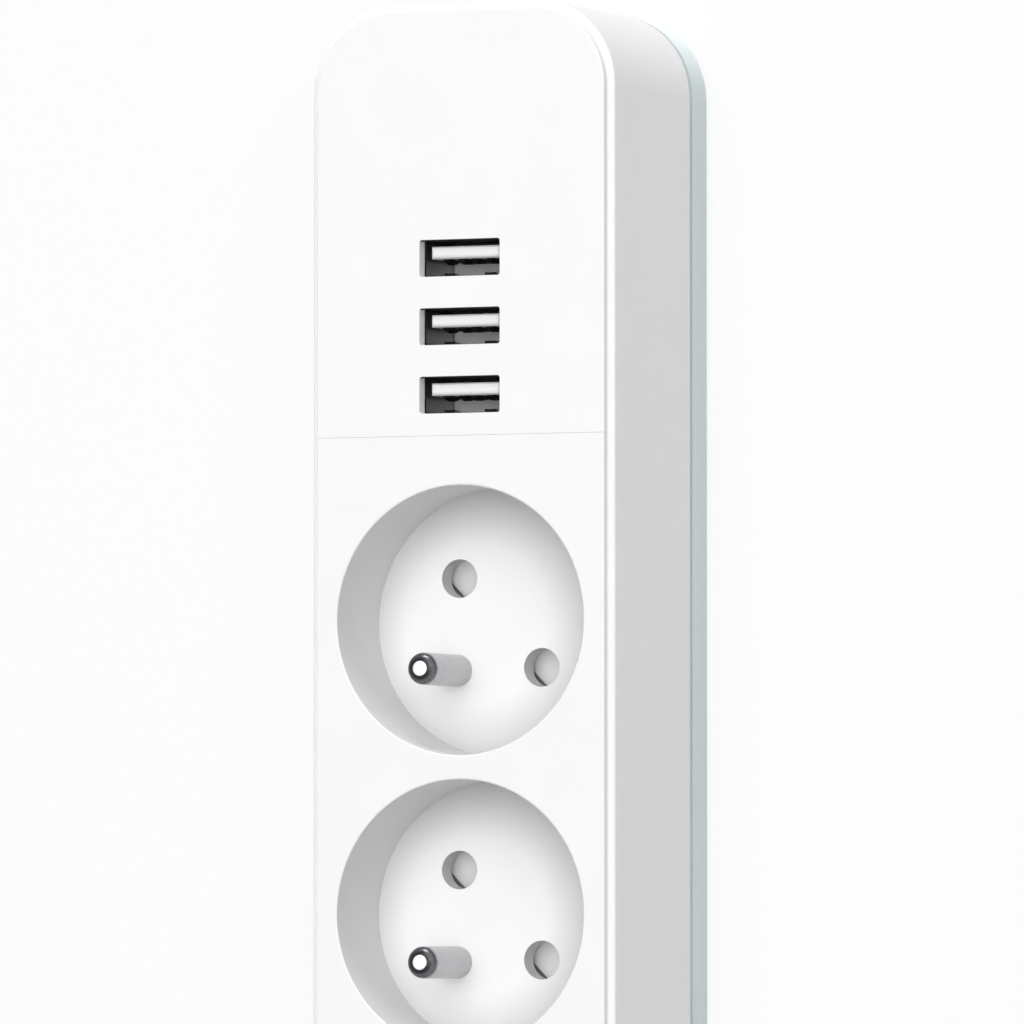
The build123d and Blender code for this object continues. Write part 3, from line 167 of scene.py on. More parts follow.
class StripColours(PropertyGroup):
    """Colours of the strip's pieces, with some painted light, shade and reflection."""

    front: colour("Front", "Front panels and the button", (0.92, 0.92, 0.92))
    body: colour("Body", "Rim and side walls of the body", (0.92, 0.92, 0.92))
    cover: colour("Back cover", "Back cover, a cooler white", (0.60, 0.68, 0.705))
    # Painted light: the back cover turns paler where it faces the USB end
    cover_end_light: colour("Cover end", "Back cover where it faces the USB end", (0.82, 0.87, 0.86))
    insert: colour("Socket insert", "Floors of the socket wells", (0.98, 0.98, 0.98))
    shutter: colour("Shutter", "Shutters behind the pin holes", (0.97, 0.97, 0.97))
    pin: colour("Earth pin", "Plated shaft of the earth pins", (0.46, 0.465, 0.475))
    # Painted reflection: the pins' dark ring and bright tip stand in for what the plated crown reflects
    pin_ring_reflection: colour("Earth pin ring", "Burnished ring around the pins' tips", (0.025, 0.025, 0.027))
    pin_tip_reflection: colour("Earth pin tip", "Flat tip of the earth pins", (0.90, 0.90, 0.90))
    # Painted light: the USB mouths' side walls are lighter than the front's upright faces
    mouth: colour("USB mouth", "Side walls of the USB mouths in the front panel", (1.0, 1.0, 1.0))
    shell: colour("USB shell", "Steel shells of the USB ports", (0.21, 0.21, 0.213))
    tongue: colour("USB tongue", "Insulators of the USB ports", (0.98, 0.98, 0.98))
    steel: colour("Steel", "Screws and springs", (0.55, 0.55, 0.56))
    brass: colour("Brass", "Contacts and busbars", (0.72, 0.50, 0.20))
    carrier: colour("Carrier", "Contact carriers and terminal block", (0.66, 0.64, 0.58))
    board: colour("Board", "Solder mask of the circuit boards", (0.010, 0.085, 0.035))
    solder: colour("Solder", "Bare tinned pads of the circuit boards", (0.55, 0.55, 0.53))
    black: colour("Black plastic", "Headers, switch and capacitor sleeves", (0.018, 0.018, 0.020))
    relay: colour("Relay", "Relay cases and the varistor", (0.020, 0.095, 0.28))
    tape: colour("Tape", "Tape around the transformer", (0.62, 0.42, 0.03))
    ferrite: colour("Ferrite", "Core of the transformer", (0.035, 0.033, 0.032))
    aluminium: colour("Aluminium", "Bare tops of the capacitors", (0.60, 0.60, 0.61))
    ceramic: colour("Ceramic", "Tube of the fuse", (0.80, 0.78, 0.72))
    ceramic_stain: colour("Ceramic stain", "Stains on the tube of the fuse", (0.70, 0.68, 0.62))
    plating: colour("Plating", "Caps of the fuse", (0.62, 0.61, 0.58))
    tin: colour("Tin", "Shield can of the wireless module", (0.60, 0.60, 0.59))
    tin_stain: colour("Tin stain", "Stains on the shield can", (0.48, 0.48, 0.47))
    clear: colour("Clear plastic", "Light guide", (0.94, 0.95, 0.95))
    haze: colour("Haze", "Haze in the light guide", (0.86, 0.88, 0.88))
    wire: colour("Wire", "Insulation of the live wires", (0.13, 0.035, 0.012))
    cable: colour("Cable", "Flat cable to the button board", (0.28, 0.28, 0.29))
    gland: colour("Gland", "Soft grommet at the cord entry", (0.84, 0.84, 0.84))


class StripTextures(PropertyGroup):
    """Fine texture and gloss of the strip's surfaces, and the light and shade painted on them."""

    grain_size: length("Grain size", "Size of the moulded grain", 0.22 * MM)
    grain_depth: length("Grain depth", "Depth of the moulded grain", 0.0012 * MM)
    mottle_size: length("Mottle size", "Size of the slow change in tone and gloss", 9.0 * MM)
    mottle: share("Mottle", "How far the tone changes over a surface", 0.015)
    gloss_spread: share("Gloss spread", "How far the roughness of plastic changes", 0.03)
    line_width: length("Line width", "Width of the lines in rolled metal", 0.05 * MM)
    line_length: length("Line length", "Length of the lines in rolled metal", 3.0 * MM)
    line_depth: length("Line depth", "Depth of the lines in rolled metal", 0.0015 * MM)
    line_spread: share("Line spread", "How far the roughness of rolled metal changes", 0.08)
    stain_size: length("Stain size", "Size of the stains on rolled metal", 5.0 * MM)
    stain: share("Stain", "Tone of the stains on rolled metal", 0.86)
    front_gloss: share("Front roughness", "Roughness of the front panels", 0.36)
    body_gloss: share("Body roughness", "Roughness of the body and the back cover", 0.46)
    insert_gloss: share("Insert roughness", "Roughness of the wells' floors", 0.50)
    shell_gloss: share("Shell roughness", "Roughness of the USB shells", 0.38)
    tongue_gloss: share("Tongue roughness", "Roughness of the USB tongues", 0.42)
    # Painted shade: the body's upright faces are darker than its rim
    body_wall_shade: share("Body walls", "Tone of the body's upright faces", 0.82)
    # Painted shade: the front panels' upright faces, as the walls of the wells, are darker
    front_wall_shade: share("Front walls", "Tone of the front panels' upright faces, as in the wells", 0.80)
    # Painted shade in the pin holes: the inserts' upright faces are darker
    insert_wall_shade: share("Insert walls", "Tone of the inserts' upright faces, as in the pin holes", 0.65)
    # Painted shade and light on the wells' floors: darker along the edge, around a bright spot shifted
    # across the strip
    insert_edge_shade: share("Insert edge", "Tone of the wells' floors along their edge", 0.62)
    insert_shade_fade: length("Insert fade", "Width of the duller edge of the wells' floors", 10.0 * MM)
    insert_light_shift: length(
        "Insert shift", "Shift of the wells' bright spot across the strip", -4.0 * MM, least=-20.0 * MM
    )
    # Painted shade: the USB mouths' walls that face the cord end are near black
    mouth_shade: share("Mouth", "Tone of the USB mouths' walls that face the cord end", 0.10)
    # Painted shade and light in the USB shells: dark lips, fingers and walls that face the cord end,
    # lighter below the tongues and on the flat floors
    shell_shade: share("Shell dull", "Tone of the USB shells' lips, fingers and shaded walls", 0.08)
    shell_light: gain("Shell lift", "How much lighter the USB shells are below their tongues", 2.2)
    shell_light_fade: length("Shell fade", "Width over which the USB shells grow lighter", 0.6 * MM)
    shell_floor_light: gain("Shell floor", "How much lighter the flat floors of the USB shells are", 2.0)
    # Painted shade on the USB tongues: darker beside their contacts and at their bases deep in the ports
    tongue_edge_shade: share("Tongue edge", "Tone of the USB tongues beside their contacts", 0.62)
    tongue_base_shade: share("Tongue base", "Tone of the bases deep in the USB ports", 0.90)
    tongue_shade_fade: length("Tongue fade", "Width of the duller edge of the USB tongues", 0.7 * MM)
    # Painted shade: the USB contacts are near black, a share of the shells' tone
    contact_shade: share("Contact dull", "Tone of the USB contacts as a share of the shells'", 0.06)


class ComponentSizes(PropertyGroup):
    """Sizes that the finishes of the circuit boards and their components follow."""

    track: length("Track", "Measure of the copper tracks", 1.0 * MM)
    pad_pitch: length("Pad pitch", "Pitch of the bare pads", 2.54 * MM)
    pad_radius: share("Pad radius", "Radius of the bare pads as a share of their pitch", 0.16)
    fuse_cap: length("Fuse cap", "Length of the plated caps of the fuse", 2.2 * MM)
    cheek: length("Cheek", "Thickness of the ferrite cheeks of the transformer", 2.0 * MM)
    bare_top: length("Bare top", "Height of the bare rim at the top of the capacitors", 0.5 * MM)
    module_board: length("Module board", "Thickness of the wireless module's own board", 0.8 * MM)


class SpringSizes(PropertyGroup):
    """Sizes of the wound springs."""

    wire: length("Wire", "Diameter of the spring wire", 0.4 * MM)
    shutter_turns: winding("Shutter turns", "Turns of a shutter spring", 8)
    button_turns: winding("Button turns", "Turns of the button spring", 4)
    closed_turns: FloatProperty(
        name="Closed turns", description="Turns that lie close at each end", default=0.75, min=0.0, max=1.5
    )


class StudioSettings(PropertyGroup):
    """Camera, lamps and floor."""

    yaw: FloatProperty(
        name="Yaw", description="Turn of the view towards the side wall", default=math.radians(24.0),
        subtype="ANGLE", unit="ROTATION",
    )
    target: point(
        "Target", "Point on the front that the camera looks at", (8.53 * MM, 41.48 * MM, 37.5 * MM)
    )
    distance: length("Distance", "Distance of the camera from its target", 1.5)
    drop: length("Drop", "How far the camera stands towards the cord end", 65.2 * MM)
    view_height: length("View height", "Height of the picture at the target", 151.17 * MM)
    floor_reach: length("Floor reach", "How far the floor reaches around the strip", 12.0)
    floor_drop: length("Floor drop", "How far the floor lies under the back cover", 0.02 * MM)
    floor_tone: share("Floor tone", "Grey of the floor", 0.85)
    floor_lift: share("Floor lift", "How far the floor is lifted to white in the picture", 0.84)
    zenith: share("Zenith", "Brightness of the room overhead", 0.45)
    horizon: share("Horizon", "Brightness of the room at floor level", 0.38)
    key_power: watts("Key lamp", "Power of the large soft lamp overhead", 91.0)
    key_side: length("Key side", "Side of the large soft lamp overhead", 3.6)
    key_place: point("Key place", "Place of the large soft lamp overhead", (0.7, 1.0, 3.3))
    end_power: watts("End lamp", "Power of the low lamp beyond the USB end", 45.0)
    end_side: length("End side", "Side of the low lamp beyond the USB end", 1.2)
    end_place: point("End place", "Place of the low lamp beyond the USB end", (0.1, 3.2, 0.5))


class StripSettings(PropertyGroup):
    """Everything about the strip that a user can change."""

    colours: PointerProperty(type=StripColours)
    textures: PointerProperty(type=StripTextures)
    components: PointerProperty(type=ComponentSizes)
    springs: PointerProperty(type=SpringSizes)
    studio: PointerProperty(type=StudioSettings)


def settings():
    """The strip's settings in the open scene."""
    return bpy.context.scene.power_strip


def middle(node):
    """The middle of a node's box at rest."""
    low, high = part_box(node)
    return (low + high) / 2


def shaded(tone, factor):
    """A colour made lighter or darker by a factor."""
    return [min(1.0, channel * factor) for channel in tone]


def rgba(tone):
    """A colour as a node takes it, or the socket that gives one."""
    return tone if isinstance(tone, NodeSocket) else (*tone, 1.0)


class Tree:
    """A node tree while it is made."""

    def __init__(self, tree):
        self.tree = tree

    def give(self, socket, value):
        """Links one input to a socket, or sets it to a plain value."""
        if isinstance(value, NodeSocket):
            self.tree.links.new(value, socket)
        else:
            socket.default_value = value

    def node(self, kind, inputs=None, **fields):
        """A new node with its fields set and its inputs linked or set."""
        made = self.tree.nodes.new(kind)
        for field, value in fields.items():
            setattr(made, field, value)
        for socket, value in (inputs or {}).items():
            self.give(made.inputs[socket], value)
        return made

    def maths(self, operation, *values):
        """One number worked out from others."""
        return self.node("ShaderNodeMath", dict(enumerate(values)), operation=operation).outputs[0]

    def part(self, vector, number):
        """One of the three parts of a vector."""
        return self.node("ShaderNodeSeparateXYZ", {"Vector": vector}).outputs[number]

    def steps(self, value, low, high):
        """A value between two ends, spread over 0 to 1."""
        inputs = {"Value": value, "From Min": low, "From Max": high}
        return self.node("ShaderNodeMapRange", inputs).outputs["Result"]

    def spread(self, value, low, high):
        """A value from 0 to 1, spread between two ends."""
        inputs = {"Value": value, "To Min": low, "To Max": high}
        return self.node("ShaderNodeMapRange", inputs).outputs["Result"]

    def shown(self):
        """One for rays that the picture shows, also by way of gloss or glass, and zero for others."""
        rays = self.node("ShaderNodeLightPath").outputs
        shown = rays[SHOWN_RAYS[0]]
        for kind in SHOWN_RAYS[1:]:
            shown = self.maths("MAXIMUM", shown, rays[kind])
        return shown


class Finish(Tree):
    """One material while it is made: its shader, and the place on the strip."""

    def __init__(self, name, sockets=None):
        self.material = bpy.data.materials.new(name)
        self.material.use_nodes = True
        super().__init__(self.material.node_tree)
        self.shader = self.tree.nodes["Principled BSDF"]
        self.place = self.node("ShaderNodeTexCoord").outputs["Object"]
        for socket, value in (sockets or {}).items():
            self.feed(socket, value)

    def feed(self, socket, value):
        """Links or sets one of the shader's own sockets."""
        self.give(self.shader.inputs[socket], value)

    def stretched(self, size, along=UP, drawn=None):
        """The place, divided by a size that may be drawn out along one axis."""
        scale = [1.0 / size] * 3
        scale[along] = 1.0 / (drawn or size)
        return self.node("ShaderNodeMapping", {"Vector": self.place, "Scale": scale}).outputs["Vector"]

    def noise(self, size, detail=2.0, **drawing):
        """Soft random tone with spots of a size, which may be drawn out along one axis."""
        inputs = {"Vector": self.stretched(size, **drawing), "Scale": 1.0, "Detail": detail}
        return self.node("ShaderNodeTexNoise", inputs).outputs["Fac"]

    def axis(self, number):
        """The place along one axis, in metres."""
        return self.part(self.place, number)

    def reach(self, centre):
        """The distance in plan from a centre, in metres."""
        inputs = {0: self.place, 1: (1.0, 1.0, 0.0)}
        flat = self.node("ShaderNodeVectorMath", inputs, operation="MULTIPLY").outputs["Vector"]
        inputs = {0: flat, 1: (centre.x, centre.y, 0.0)}
        return self.node("ShaderNodeVectorMath", inputs, operation="DISTANCE").outputs["Value"]

    def inside(self, number, low, high):
        """One between two places along an axis, and zero outside them."""
        return self.maths("COMPARE", self.axis(number), (low + high) / 2, (high - low) / 2)

    def ends(self, node, depth):
        """White up to a depth from the two ends of a node along the strip, and black between."""
        low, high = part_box(node)
        end = depth / (high.y - low.y)
        along = self.steps(self.axis(ALONG), low.y, high.y)
        return self.ramp(along, [(0.0, WHITE), (end, BLACK), (1.0 - end, WHITE)], "CONSTANT")

    def facing(self, number):
        """How far the surface faces along one axis, from -1 to 1."""
        return self.part(self.node("ShaderNodeNewGeometry").outputs["Normal"], number)

    def ramp(self, value, stops, interpolation="LINEAR"):
        """Colours along a value, as (position, colour) stops."""
        made = self.node("ShaderNodeValToRGB", {"Fac": value})
        made.color_ramp.interpolation = interpolation
        elements = made.color_ramp.elements
        while len(elements) < len(stops):
            elements.new(1.0)
        for element, (position, tone) in zip(elements, stops):
            element.position = position
            element.color = rgba(tone)
        return made.outputs["Color"]

    def tones(self, value, first, second, stops=SOFT_STOPS):
        """Two colours along a value, blended between two stops."""
        return self.ramp(value, list(zip(stops, (first, second))))

    def mixed(self, factor, first, second):
        """Two colours mixed by a factor."""
        inputs = {MIX_FACTOR: factor, MIX_FIRST: rgba(first), MIX_SECOND: rgba(second)}
        return self.node("ShaderNodeMix", inputs, data_type="RGBA").outputs[MIX_RESULT]

    def paint(self, tone):
        """Colour of the surface."""
        self.feed("Base Color", tone)

    def rough(self, value, low, high):
        """Roughness that follows a value from 0 to 1."""
        self.feed("Roughness", self.spread(value, low, high))

    def bump(self, height, depth):
        """Relief of a depth in metres."""
        inputs = {"Height": height, "Distance": depth, "Strength": 1.0}
        self.feed("Normal", self.node("ShaderNodeBump", inputs).outputs["Normal"])


class MouldedFinish(Finish):
    """A moulded plastic while it is made: a slow mottle in tone and gloss, and a fine grain."""

    def __init__(self, name, roughness, grain=1.0):
        super().__init__(name)
        textures = settings().textures
        self.mottle = self.noise(textures.mottle_size)
        spread = textures.gloss_spread
        self.rough(self.mottle, low=roughness - spread, high=roughness + spread)
        relief = self.noise(textures.grain_size * grain, FINE_DETAIL)
        self.bump(relief, depth=textures.grain_depth * grain)

    def mottled(self, tone, level=1.0):
        """A colour at a level of its own tone, faintly mottled."""
        low = level - settings().textures.mottle
        return self.tones(self.mottle, shaded(tone, low), shaded(tone, level))


class RolledFinish(Finish):
    """A rolled metal while it is made: fine lines along the way it was rolled, and faint stains."""

    def __init__(self, name, roughness, rolled):
        super().__init__(name, METAL)
        textures = settings().textures
        lines = self.noise(textures.line_width, FINE_DETAIL, along=rolled, drawn=textures.line_length)
        spread = textures.line_spread
        self.rough(lines, low=roughness - spread, high=roughness + spread)
        self.bump(lines, depth=textures.line_depth)

    def stained(self, tone):
        """A colour with faint stains."""
        textures = settings().textures
        return self.tones(self.noise(textures.stain_size), shaded(tone, textures.stain), tone)


def moulded_plastic(name, tone, roughness, grain=1.0, walls=1.0, ports=(), end=None):
    """Moulded plastic, with painted shade on its upright faces where walls is below one, painted light and
    shade in the mouths of ports, and painted light on one end, if it has them.
    """
    finish = MouldedFinish(name, roughness, grain)
    # Painted shade: upright faces at a lower level of the tone
    wall = finish.mottled(tone, walls)
    for port in ports:
        wall = port_mouth(finish, port, tone, wall)
    surface = finish.mixed(finish.steps(finish.facing(UP), *WALL_TO_FACE), wall, finish.mottled(tone))
    # Painted light: a paler tone where the surface faces the USB end
    if end is not None:
        surface = finish.mixed(finish.steps(finish.facing(ALONG), *FACING_USB_END), surface, end)
    finish.paint(surface)
    return finish.material


def port_mouth(finish, port, tone, wall):
    """Wall tone in a port's mouth: painted light on its walls, and painted shade on the wall that faces
    the cord end.
    """
    low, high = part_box(port)
    across = finish.inside(ACROSS, low.x, high.x)
    along = finish.inside(ALONG, low.y, high.y)
    # Painted shade on the wall that faces the cord end, painted light on the others
    shade = shaded(tone, settings().textures.mouth_shade)
    lit = finish.steps(finish.facing(ALONG), *FACING_CORD_END)
    mouth = finish.mixed(lit, shade, settings().colours.mouth)
    return finish.mixed(finish.maths("MULTIPLY", across, along), wall, mouth)


def well_floor(name, node, tone, roughness):
    """Moulded floor of a well, with painted shade along its edge and inside the pin holes, around a
    painted bright spot shifted across the strip.
    """
    textures = settings().textures
    finish = MouldedFinish(name, roughness)
    low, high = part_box(node)
    edge = (high.x - low.x) / 2
    # Painted shade along the floor's edge, around a painted bright spot shifted off the middle
    reach = finish.reach(middle(node) + Vector((textures.insert_light_shift, 0.0, 0.0)))
    outer = finish.steps(reach, edge - textures.insert_shade_fade, edge)
    floor = finish.mixed(outer, finish.mottled(tone), shaded(tone, textures.insert_edge_shade))
    # Painted shade on the walls of the pin holes
    wall = shaded(tone, textures.insert_wall_shade)
    finish.paint(finish.mixed(finish.steps(finish.facing(UP), *WALL_TO_FACE), wall, floor))
    return finish.material


def plated_pin(name, tone, ring, bright):
    """Turned and plated pin: faint rings along the shaft, and a painted reflection on the crown, a dark
    ring around a bright tip.
    """
    finish = Finish(name, METAL)
    turning = finish.noise(size=4.0 * MM, detail=4.0, along=UP, drawn=0.06 * MM)
    shaft = finish.tones(turning, shaded(tone, 0.98), shaded(tone, 1.02))
    upward = finish.facing(UP)
    stops = [(facing, shaded(ring, factor)) for facing, factor in PIN_CROWN]
    # Painted reflection: the crown darkens to a ring and brightens at the tip, by how far it faces up
    crown = finish.ramp(upward, [*stops, (CROWN_TO_TIP, bright)])
    finish.paint(finish.mixed(finish.steps(upward, *SHAFT_TO_CROWN), shaft, crown))
    finish.rough(turning, low=0.24, high=0.32)
    finish.bump(turning, depth=0.0006 * MM)
    return finish.material


def rolled_sheet(name, tone, roughness, rolled=ACROSS):
    """Rolled sheet metal with fine lines along the way it was rolled."""
    finish = RolledFinish(name, roughness, rolled)
    finish.paint(finish.stained(tone))
    return finish.material


def port_steel(name, shell, contacts, tone):
    """Steel of a port's shell: painted light below its tongue and on its flat floor, and painted shade at
    its lip, its fingers and the wall that faces the cord end.
    """
    textures = settings().textures
    finish = RolledFinish(name, textures.shell_gloss, rolled=UP)
    # Painted shade and painted light in the shell
    shade = shaded(tone, textures.shell_shade)
    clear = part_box(contacts)[1].y
    below = finish.steps(finish.axis(ALONG), clear, clear - textures.shell_light_fade)
    sheet = finish.mixed(below, finish.stained(tone), shaded(tone, textures.shell_light))
    wall = finish.mixed(finish.steps(finish.facing(ALONG), *FACING_CORD_END), shade, sheet)
    flat = shaded(tone, textures.shell_floor_light)
    floor = finish.ramp(finish.facing(UP), [(0.0, shade), (SLANTED_TO_FLAT, flat)], "CONSTANT")
    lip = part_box(shell)[1].z
    near, far = PORT_EDGE
    floor = finish.mixed(finish.steps(finish.axis(UP), lip - far, lip - near), floor, shade)
    finish.paint(finish.mixed(finish.steps(finish.facing(UP), *UPRIGHT_TO_SLANTED), wall, floor))
    return finish.material


def port_tongue(name, contacts, tone):
    """White insulator of a port: painted shade on its base deep in the port, and on its blade towards the
    contacts.
    """
    textures = settings().textures
    finish = MouldedFinish(name, textures.tongue_gloss)
    low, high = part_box(contacts)
    clear = finish.steps(finish.axis(ALONG), high.y, high.y + textures.tongue_shade_fade)
    # Painted shade on the blade towards the contacts, and on the base below
    blade = finish.mixed(clear, shaded(tone, textures.tongue_edge_shade), finish.mottled(tone))
    near, far = PORT_EDGE
    above = finish.steps(finish.axis(UP), low.z + near, low.z + far)
    finish.paint(finish.mixed(above, shaded(tone, textures.tongue_base_shade), blade))
    return finish.material


def drawn_wire(name, tone):
    """Spring wire with a faint patchy sheen."""
    finish = Finish(name, METAL)
    patches = finish.noise(size=0.5 * MM)
    finish.paint(finish.tones(patches, shaded(tone, 0.8), tone))
    finish.rough(patches, low=0.24, high=0.38)
    finish.bump(finish.noise(size=0.04 * MM), depth=0.001 * MM)
    return finish.material


def cable_jacket(name, tone):
    """Extruded insulation with faint lines along the strip."""
    finish = Finish(name)
    lines = finish.noise(size=0.25 * MM, along=ALONG, drawn=12.0 * MM)
    finish.paint(finish.tones(lines, shaded(tone, 0.85), shaded(tone, 1.1)))
    finish.rough(lines, low=0.42, high=0.54)
    finish.bump(lines, depth=0.004 * MM)
    return finish.material


def solder_mask(name, mask, solder):
    """Circuit board: solder mask over copper tracks, with bare tinned pads."""
    sizes = settings().components
    finish = Finish(name, {"Coat Weight": 0.25})
    inputs = {
        "Vector": finish.stretched(sizes.track), "Scale": 0.45, "Mortar Size": 0.06, "Mortar Smooth": 0.2,
        "Brick Width": 1.7, "Row Height": 0.8,
    }
    bricks = finish.node("ShaderNodeTexBrick", inputs, offset=0.37, squash=0.7, squash_frequency=3)
    tracks = bricks.outputs["Fac"]
    grid = finish.stretched(sizes.pad_pitch, along=UP, drawn=40.0 * MM)
    cells = finish.node("ShaderNodeTexVoronoi", {"Vector": grid, "Scale": 1.0, "Randomness": 0.15})
    stops = [(0.0, WHITE), (sizes.pad_radius, BLACK)]
    pads = finish.ramp(cells.outputs["Distance"], stops, "CONSTANT")
    copper = finish.mixed(tracks, shaded(mask, 0.8), shaded(mask, 1.7))
    finish.paint(finish.mixed(pads, copper, solder))
    finish.rough(tracks, low=0.30, high=0.42)
    finish.bump(tracks, depth=0.03 * MM)
    return finish.material


def capped_ceramic(name, node):
    """Cartridge fuse: pale ceramic with plated caps at its two ends."""
    colours = settings().colours
    finish = Finish(name)
    caps = finish.ends(node, settings().components.fuse_cap)
    stain = finish.noise(size=1.2 * MM)
    ceramic = finish.tones(stain, colours.ceramic_stain, colours.ceramic)
    finish.paint(finish.mixed(caps, ceramic, colours.plating))
    finish.feed("Metallic", caps)
    finish.rough(stain, low=0.26, high=0.40)
    finish.bump(finish.noise(size=0.15 * MM), depth=0.002 * MM)
    return finish.material


def sleeved_can(name, node, sleeve, metal):
    """Capacitor: a sleeve with faint lighter and darker streaks along its height, and a bare metal top."""
    finish = Finish(name)
    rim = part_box(node)[1].z - settings().components.bare_top
    bare = finish.steps(finish.axis(UP), rim, rim + SLEEVE_EDGE)
    streaks = finish.noise(size=0.4 * MM, along=UP, drawn=4.0 * MM)
    film = finish.tones(streaks, shaded(sleeve, 0.8), shaded(sleeve, 1.6))
    finish.paint(finish.mixed(bare, film, metal))
    finish.feed("Metallic", bare)
    finish.rough(streaks, low=0.28, high=0.40)
    finish.bump(streaks, depth=0.003 * MM)
    return finish.material


def wound_core(name, node, tape, core):
    """Transformer: a taped winding between two dark cheeks of ferrite."""
    finish = Finish(name)
    lap = finish.noise(size=0.5 * MM, along=ACROSS, drawn=30.0 * MM)
    taped = finish.tones(lap, shaded(tape, 0.8), tape, TAPE_STOPS)
    finish.paint(finish.mixed(finish.ends(node, settings().components.cheek), taped, core))
    finish.rough(lap, low=0.35, high=0.6)
    finish.bump(lap, depth=0.03 * MM)
    return finish.material


def shielded_module(name, node):
    """Wireless module: a small dark board with a tinned shield can standing out of its face."""
    colours = settings().colours
    finish = Finish(name)
    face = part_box(node)[0].y + settings().components.module_board
    can = finish.steps(finish.axis(ALONG), face - SHIELD_EDGE / 2, face + SHIELD_EDGE / 2)
    stain = finish.noise(size=2.0 * MM)
    tin = finish.tones(stain, colours.tin_stain, colours.tin)
    finish.paint(finish.mixed(can, shaded(colours.board, 0.6), tin))
    finish.feed("Metallic", can)
    finish.rough(stain, low=0.28, high=0.42)
    finish.bump(finish.noise(size=0.3 * MM), depth=0.004 * MM)
    return finish.material


def clear_plastic(name, tone, haze):
    """Light guide: clear plastic with a faint haze."""
    finish = Finish(name, {"Transmission Weight": 0.85, "IOR": 1.49})
    clouds = finish.noise(size=1.5 * MM)
    finish.paint(finish.tones(clouds, haze, tone))
    finish.rough(clouds, low=0.12, high=0.22)
    finish.bump(finish.noise(size=0.3 * MM), depth=0.001 * MM)
    return finish.material


def dress(material, names):
    """Gives a material to the named nodes of the frame."""
    for name in names:
        slots = NODES[name].data.materials
        slots.clear()
        slots.append(material)


class POWERSTRIP_OT_housing(Operator):
    """Finish the body, the back cover and the front panels"""

    bl_idname = "power_strip.housing"
    bl_label = "Housing"

    def execute(self, context):
        colours = settings().colours
        textures = settings().textures
        # Painted shade on the front panels' upright faces
        front = {"tone": colours.front, "roughness": textures.front_gloss, "walls": textures.front_wall_shade}
        dress(moulded_plastic("front_white", **front), ["socket_panel"])
        ports = numbered("usb_shell", PORT_NUMBERS)
        dress(moulded_plastic("port_white", **front, ports=ports), ["usb_panel"])
        back = {"roughness": textures.body_gloss, "grain": 1.3}
        # Painted shade: the body's upright faces are darker
        body = moulded_plastic("body_white", colours.body, **back, walls=textures.body_wall_shade)
        dress(body, ["body_shell"])
        # Painted light: the cover is paler where it faces the USB end
        cover = moulded_plastic("cover_white", colours.cover, **back, end=colours.cover_end_light)
        dress(cover, ["back_cover"])
        return {"FINISHED"}


class POWERSTRIP_OT_sockets(Operator):
    """Finish the socket inserts, the shutters and the contact carriers"""

    bl_idname = "power_strip.sockets"
    bl_label = "Sockets"

    def execute(self, context):
        colours = settings().colours
        textures = settings().textures
        for node in numbered("socket_insert", SOCKET_NUMBERS):
            dress(well_floor(node + "_white", node, colours.insert, textures.insert_gloss), [node])
        shutter = moulded_plastic("shutter_grey", colours.shutter, textures.insert_gloss)
        dress(shutter, numbered("shutter", SOCKET_NUMBERS))
        carrier = moulded_plastic("carrier_plastic", colours.carrier, textures.body_gloss, grain=1.5)
        dress(carrier, numbered("contact_carrier", SOCKET_NUMBERS))
        return {"FINISHED"}


class POWERSTRIP_OT_earth_pins(Operator):
    """Finish the plated earth pins"""

    bl_idname = "power_strip.earth_pins"
    bl_label = "Earth pins"

    def execute(self, context):
        colours = settings().colours
        # Painted reflection on the pins' crowns
        nickel = plated_pin("nickel", colours.pin, colours.pin_ring_reflection, colours.pin_tip_reflection)
        dress(nickel, numbered("earth_pin", SOCKET_NUMBERS))
        return {"FINISHED"}


class POWERSTRIP_OT_usb_ports(Operator):
    """Finish the shells, tongues and contacts of the USB ports"""

    bl_idname = "power_strip.usb_ports"
    bl_label = "USB ports"

    def execute(self, context):
        colours = settings().colours
        # Painted shade: the contacts are near black
        dark = shaded(colours.shell, settings().textures.contact_shade)
        contact = rolled_sheet("port_contact", dark, roughness=0.4, rolled=UP)
        pieces = [numbered(piece, PORT_NUMBERS) for piece in ("usb_shell", "usb_tongue", "usb_contacts")]
        for shell, tongue, contacts in zip(*pieces):
            dress(port_steel(shell + "_steel", shell, contacts, colours.shell), [shell])
            dress(port_tongue(tongue + "_white", contacts, colours.tongue), [tongue])
            dress(contact, [contacts])
        return {"FINISHED"}


class POWERSTRIP_OT_button(Operator):
    """Finish the power button, its switch, the light guide and the indicator"""

    bl_idname = "power_strip.button"
    bl_label = "Button and indicator"

    def execute(self, context):
        colours = settings().colours
        textures = settings().textures
        dress(moulded_plastic("button_white", colours.front, textures.front_gloss), ["power_button"])
        dress(moulded_plastic("switch_black", colours.black, roughness=0.45), ["tact_switch"])
        dress(clear_plastic("clear", colours.clear, colours.haze), ["light_guide"])
        dress(moulded_plastic("lamp_white", colours.tongue, roughness=0.3), ["status_led"])
        return {"FINISHED"}


class POWERSTRIP_OT_boards(Operator):
    """Finish the circuit boards"""

    bl_idname = "power_strip.boards"
    bl_label = "Circuit boards"

    def execute(self, context):
        colours = settings().colours
        board = solder_mask("board_green", colours.board, colours.solder)
        dress(board, ["control_board", "usb_board", "button_board"])
        return {"FINISHED"}


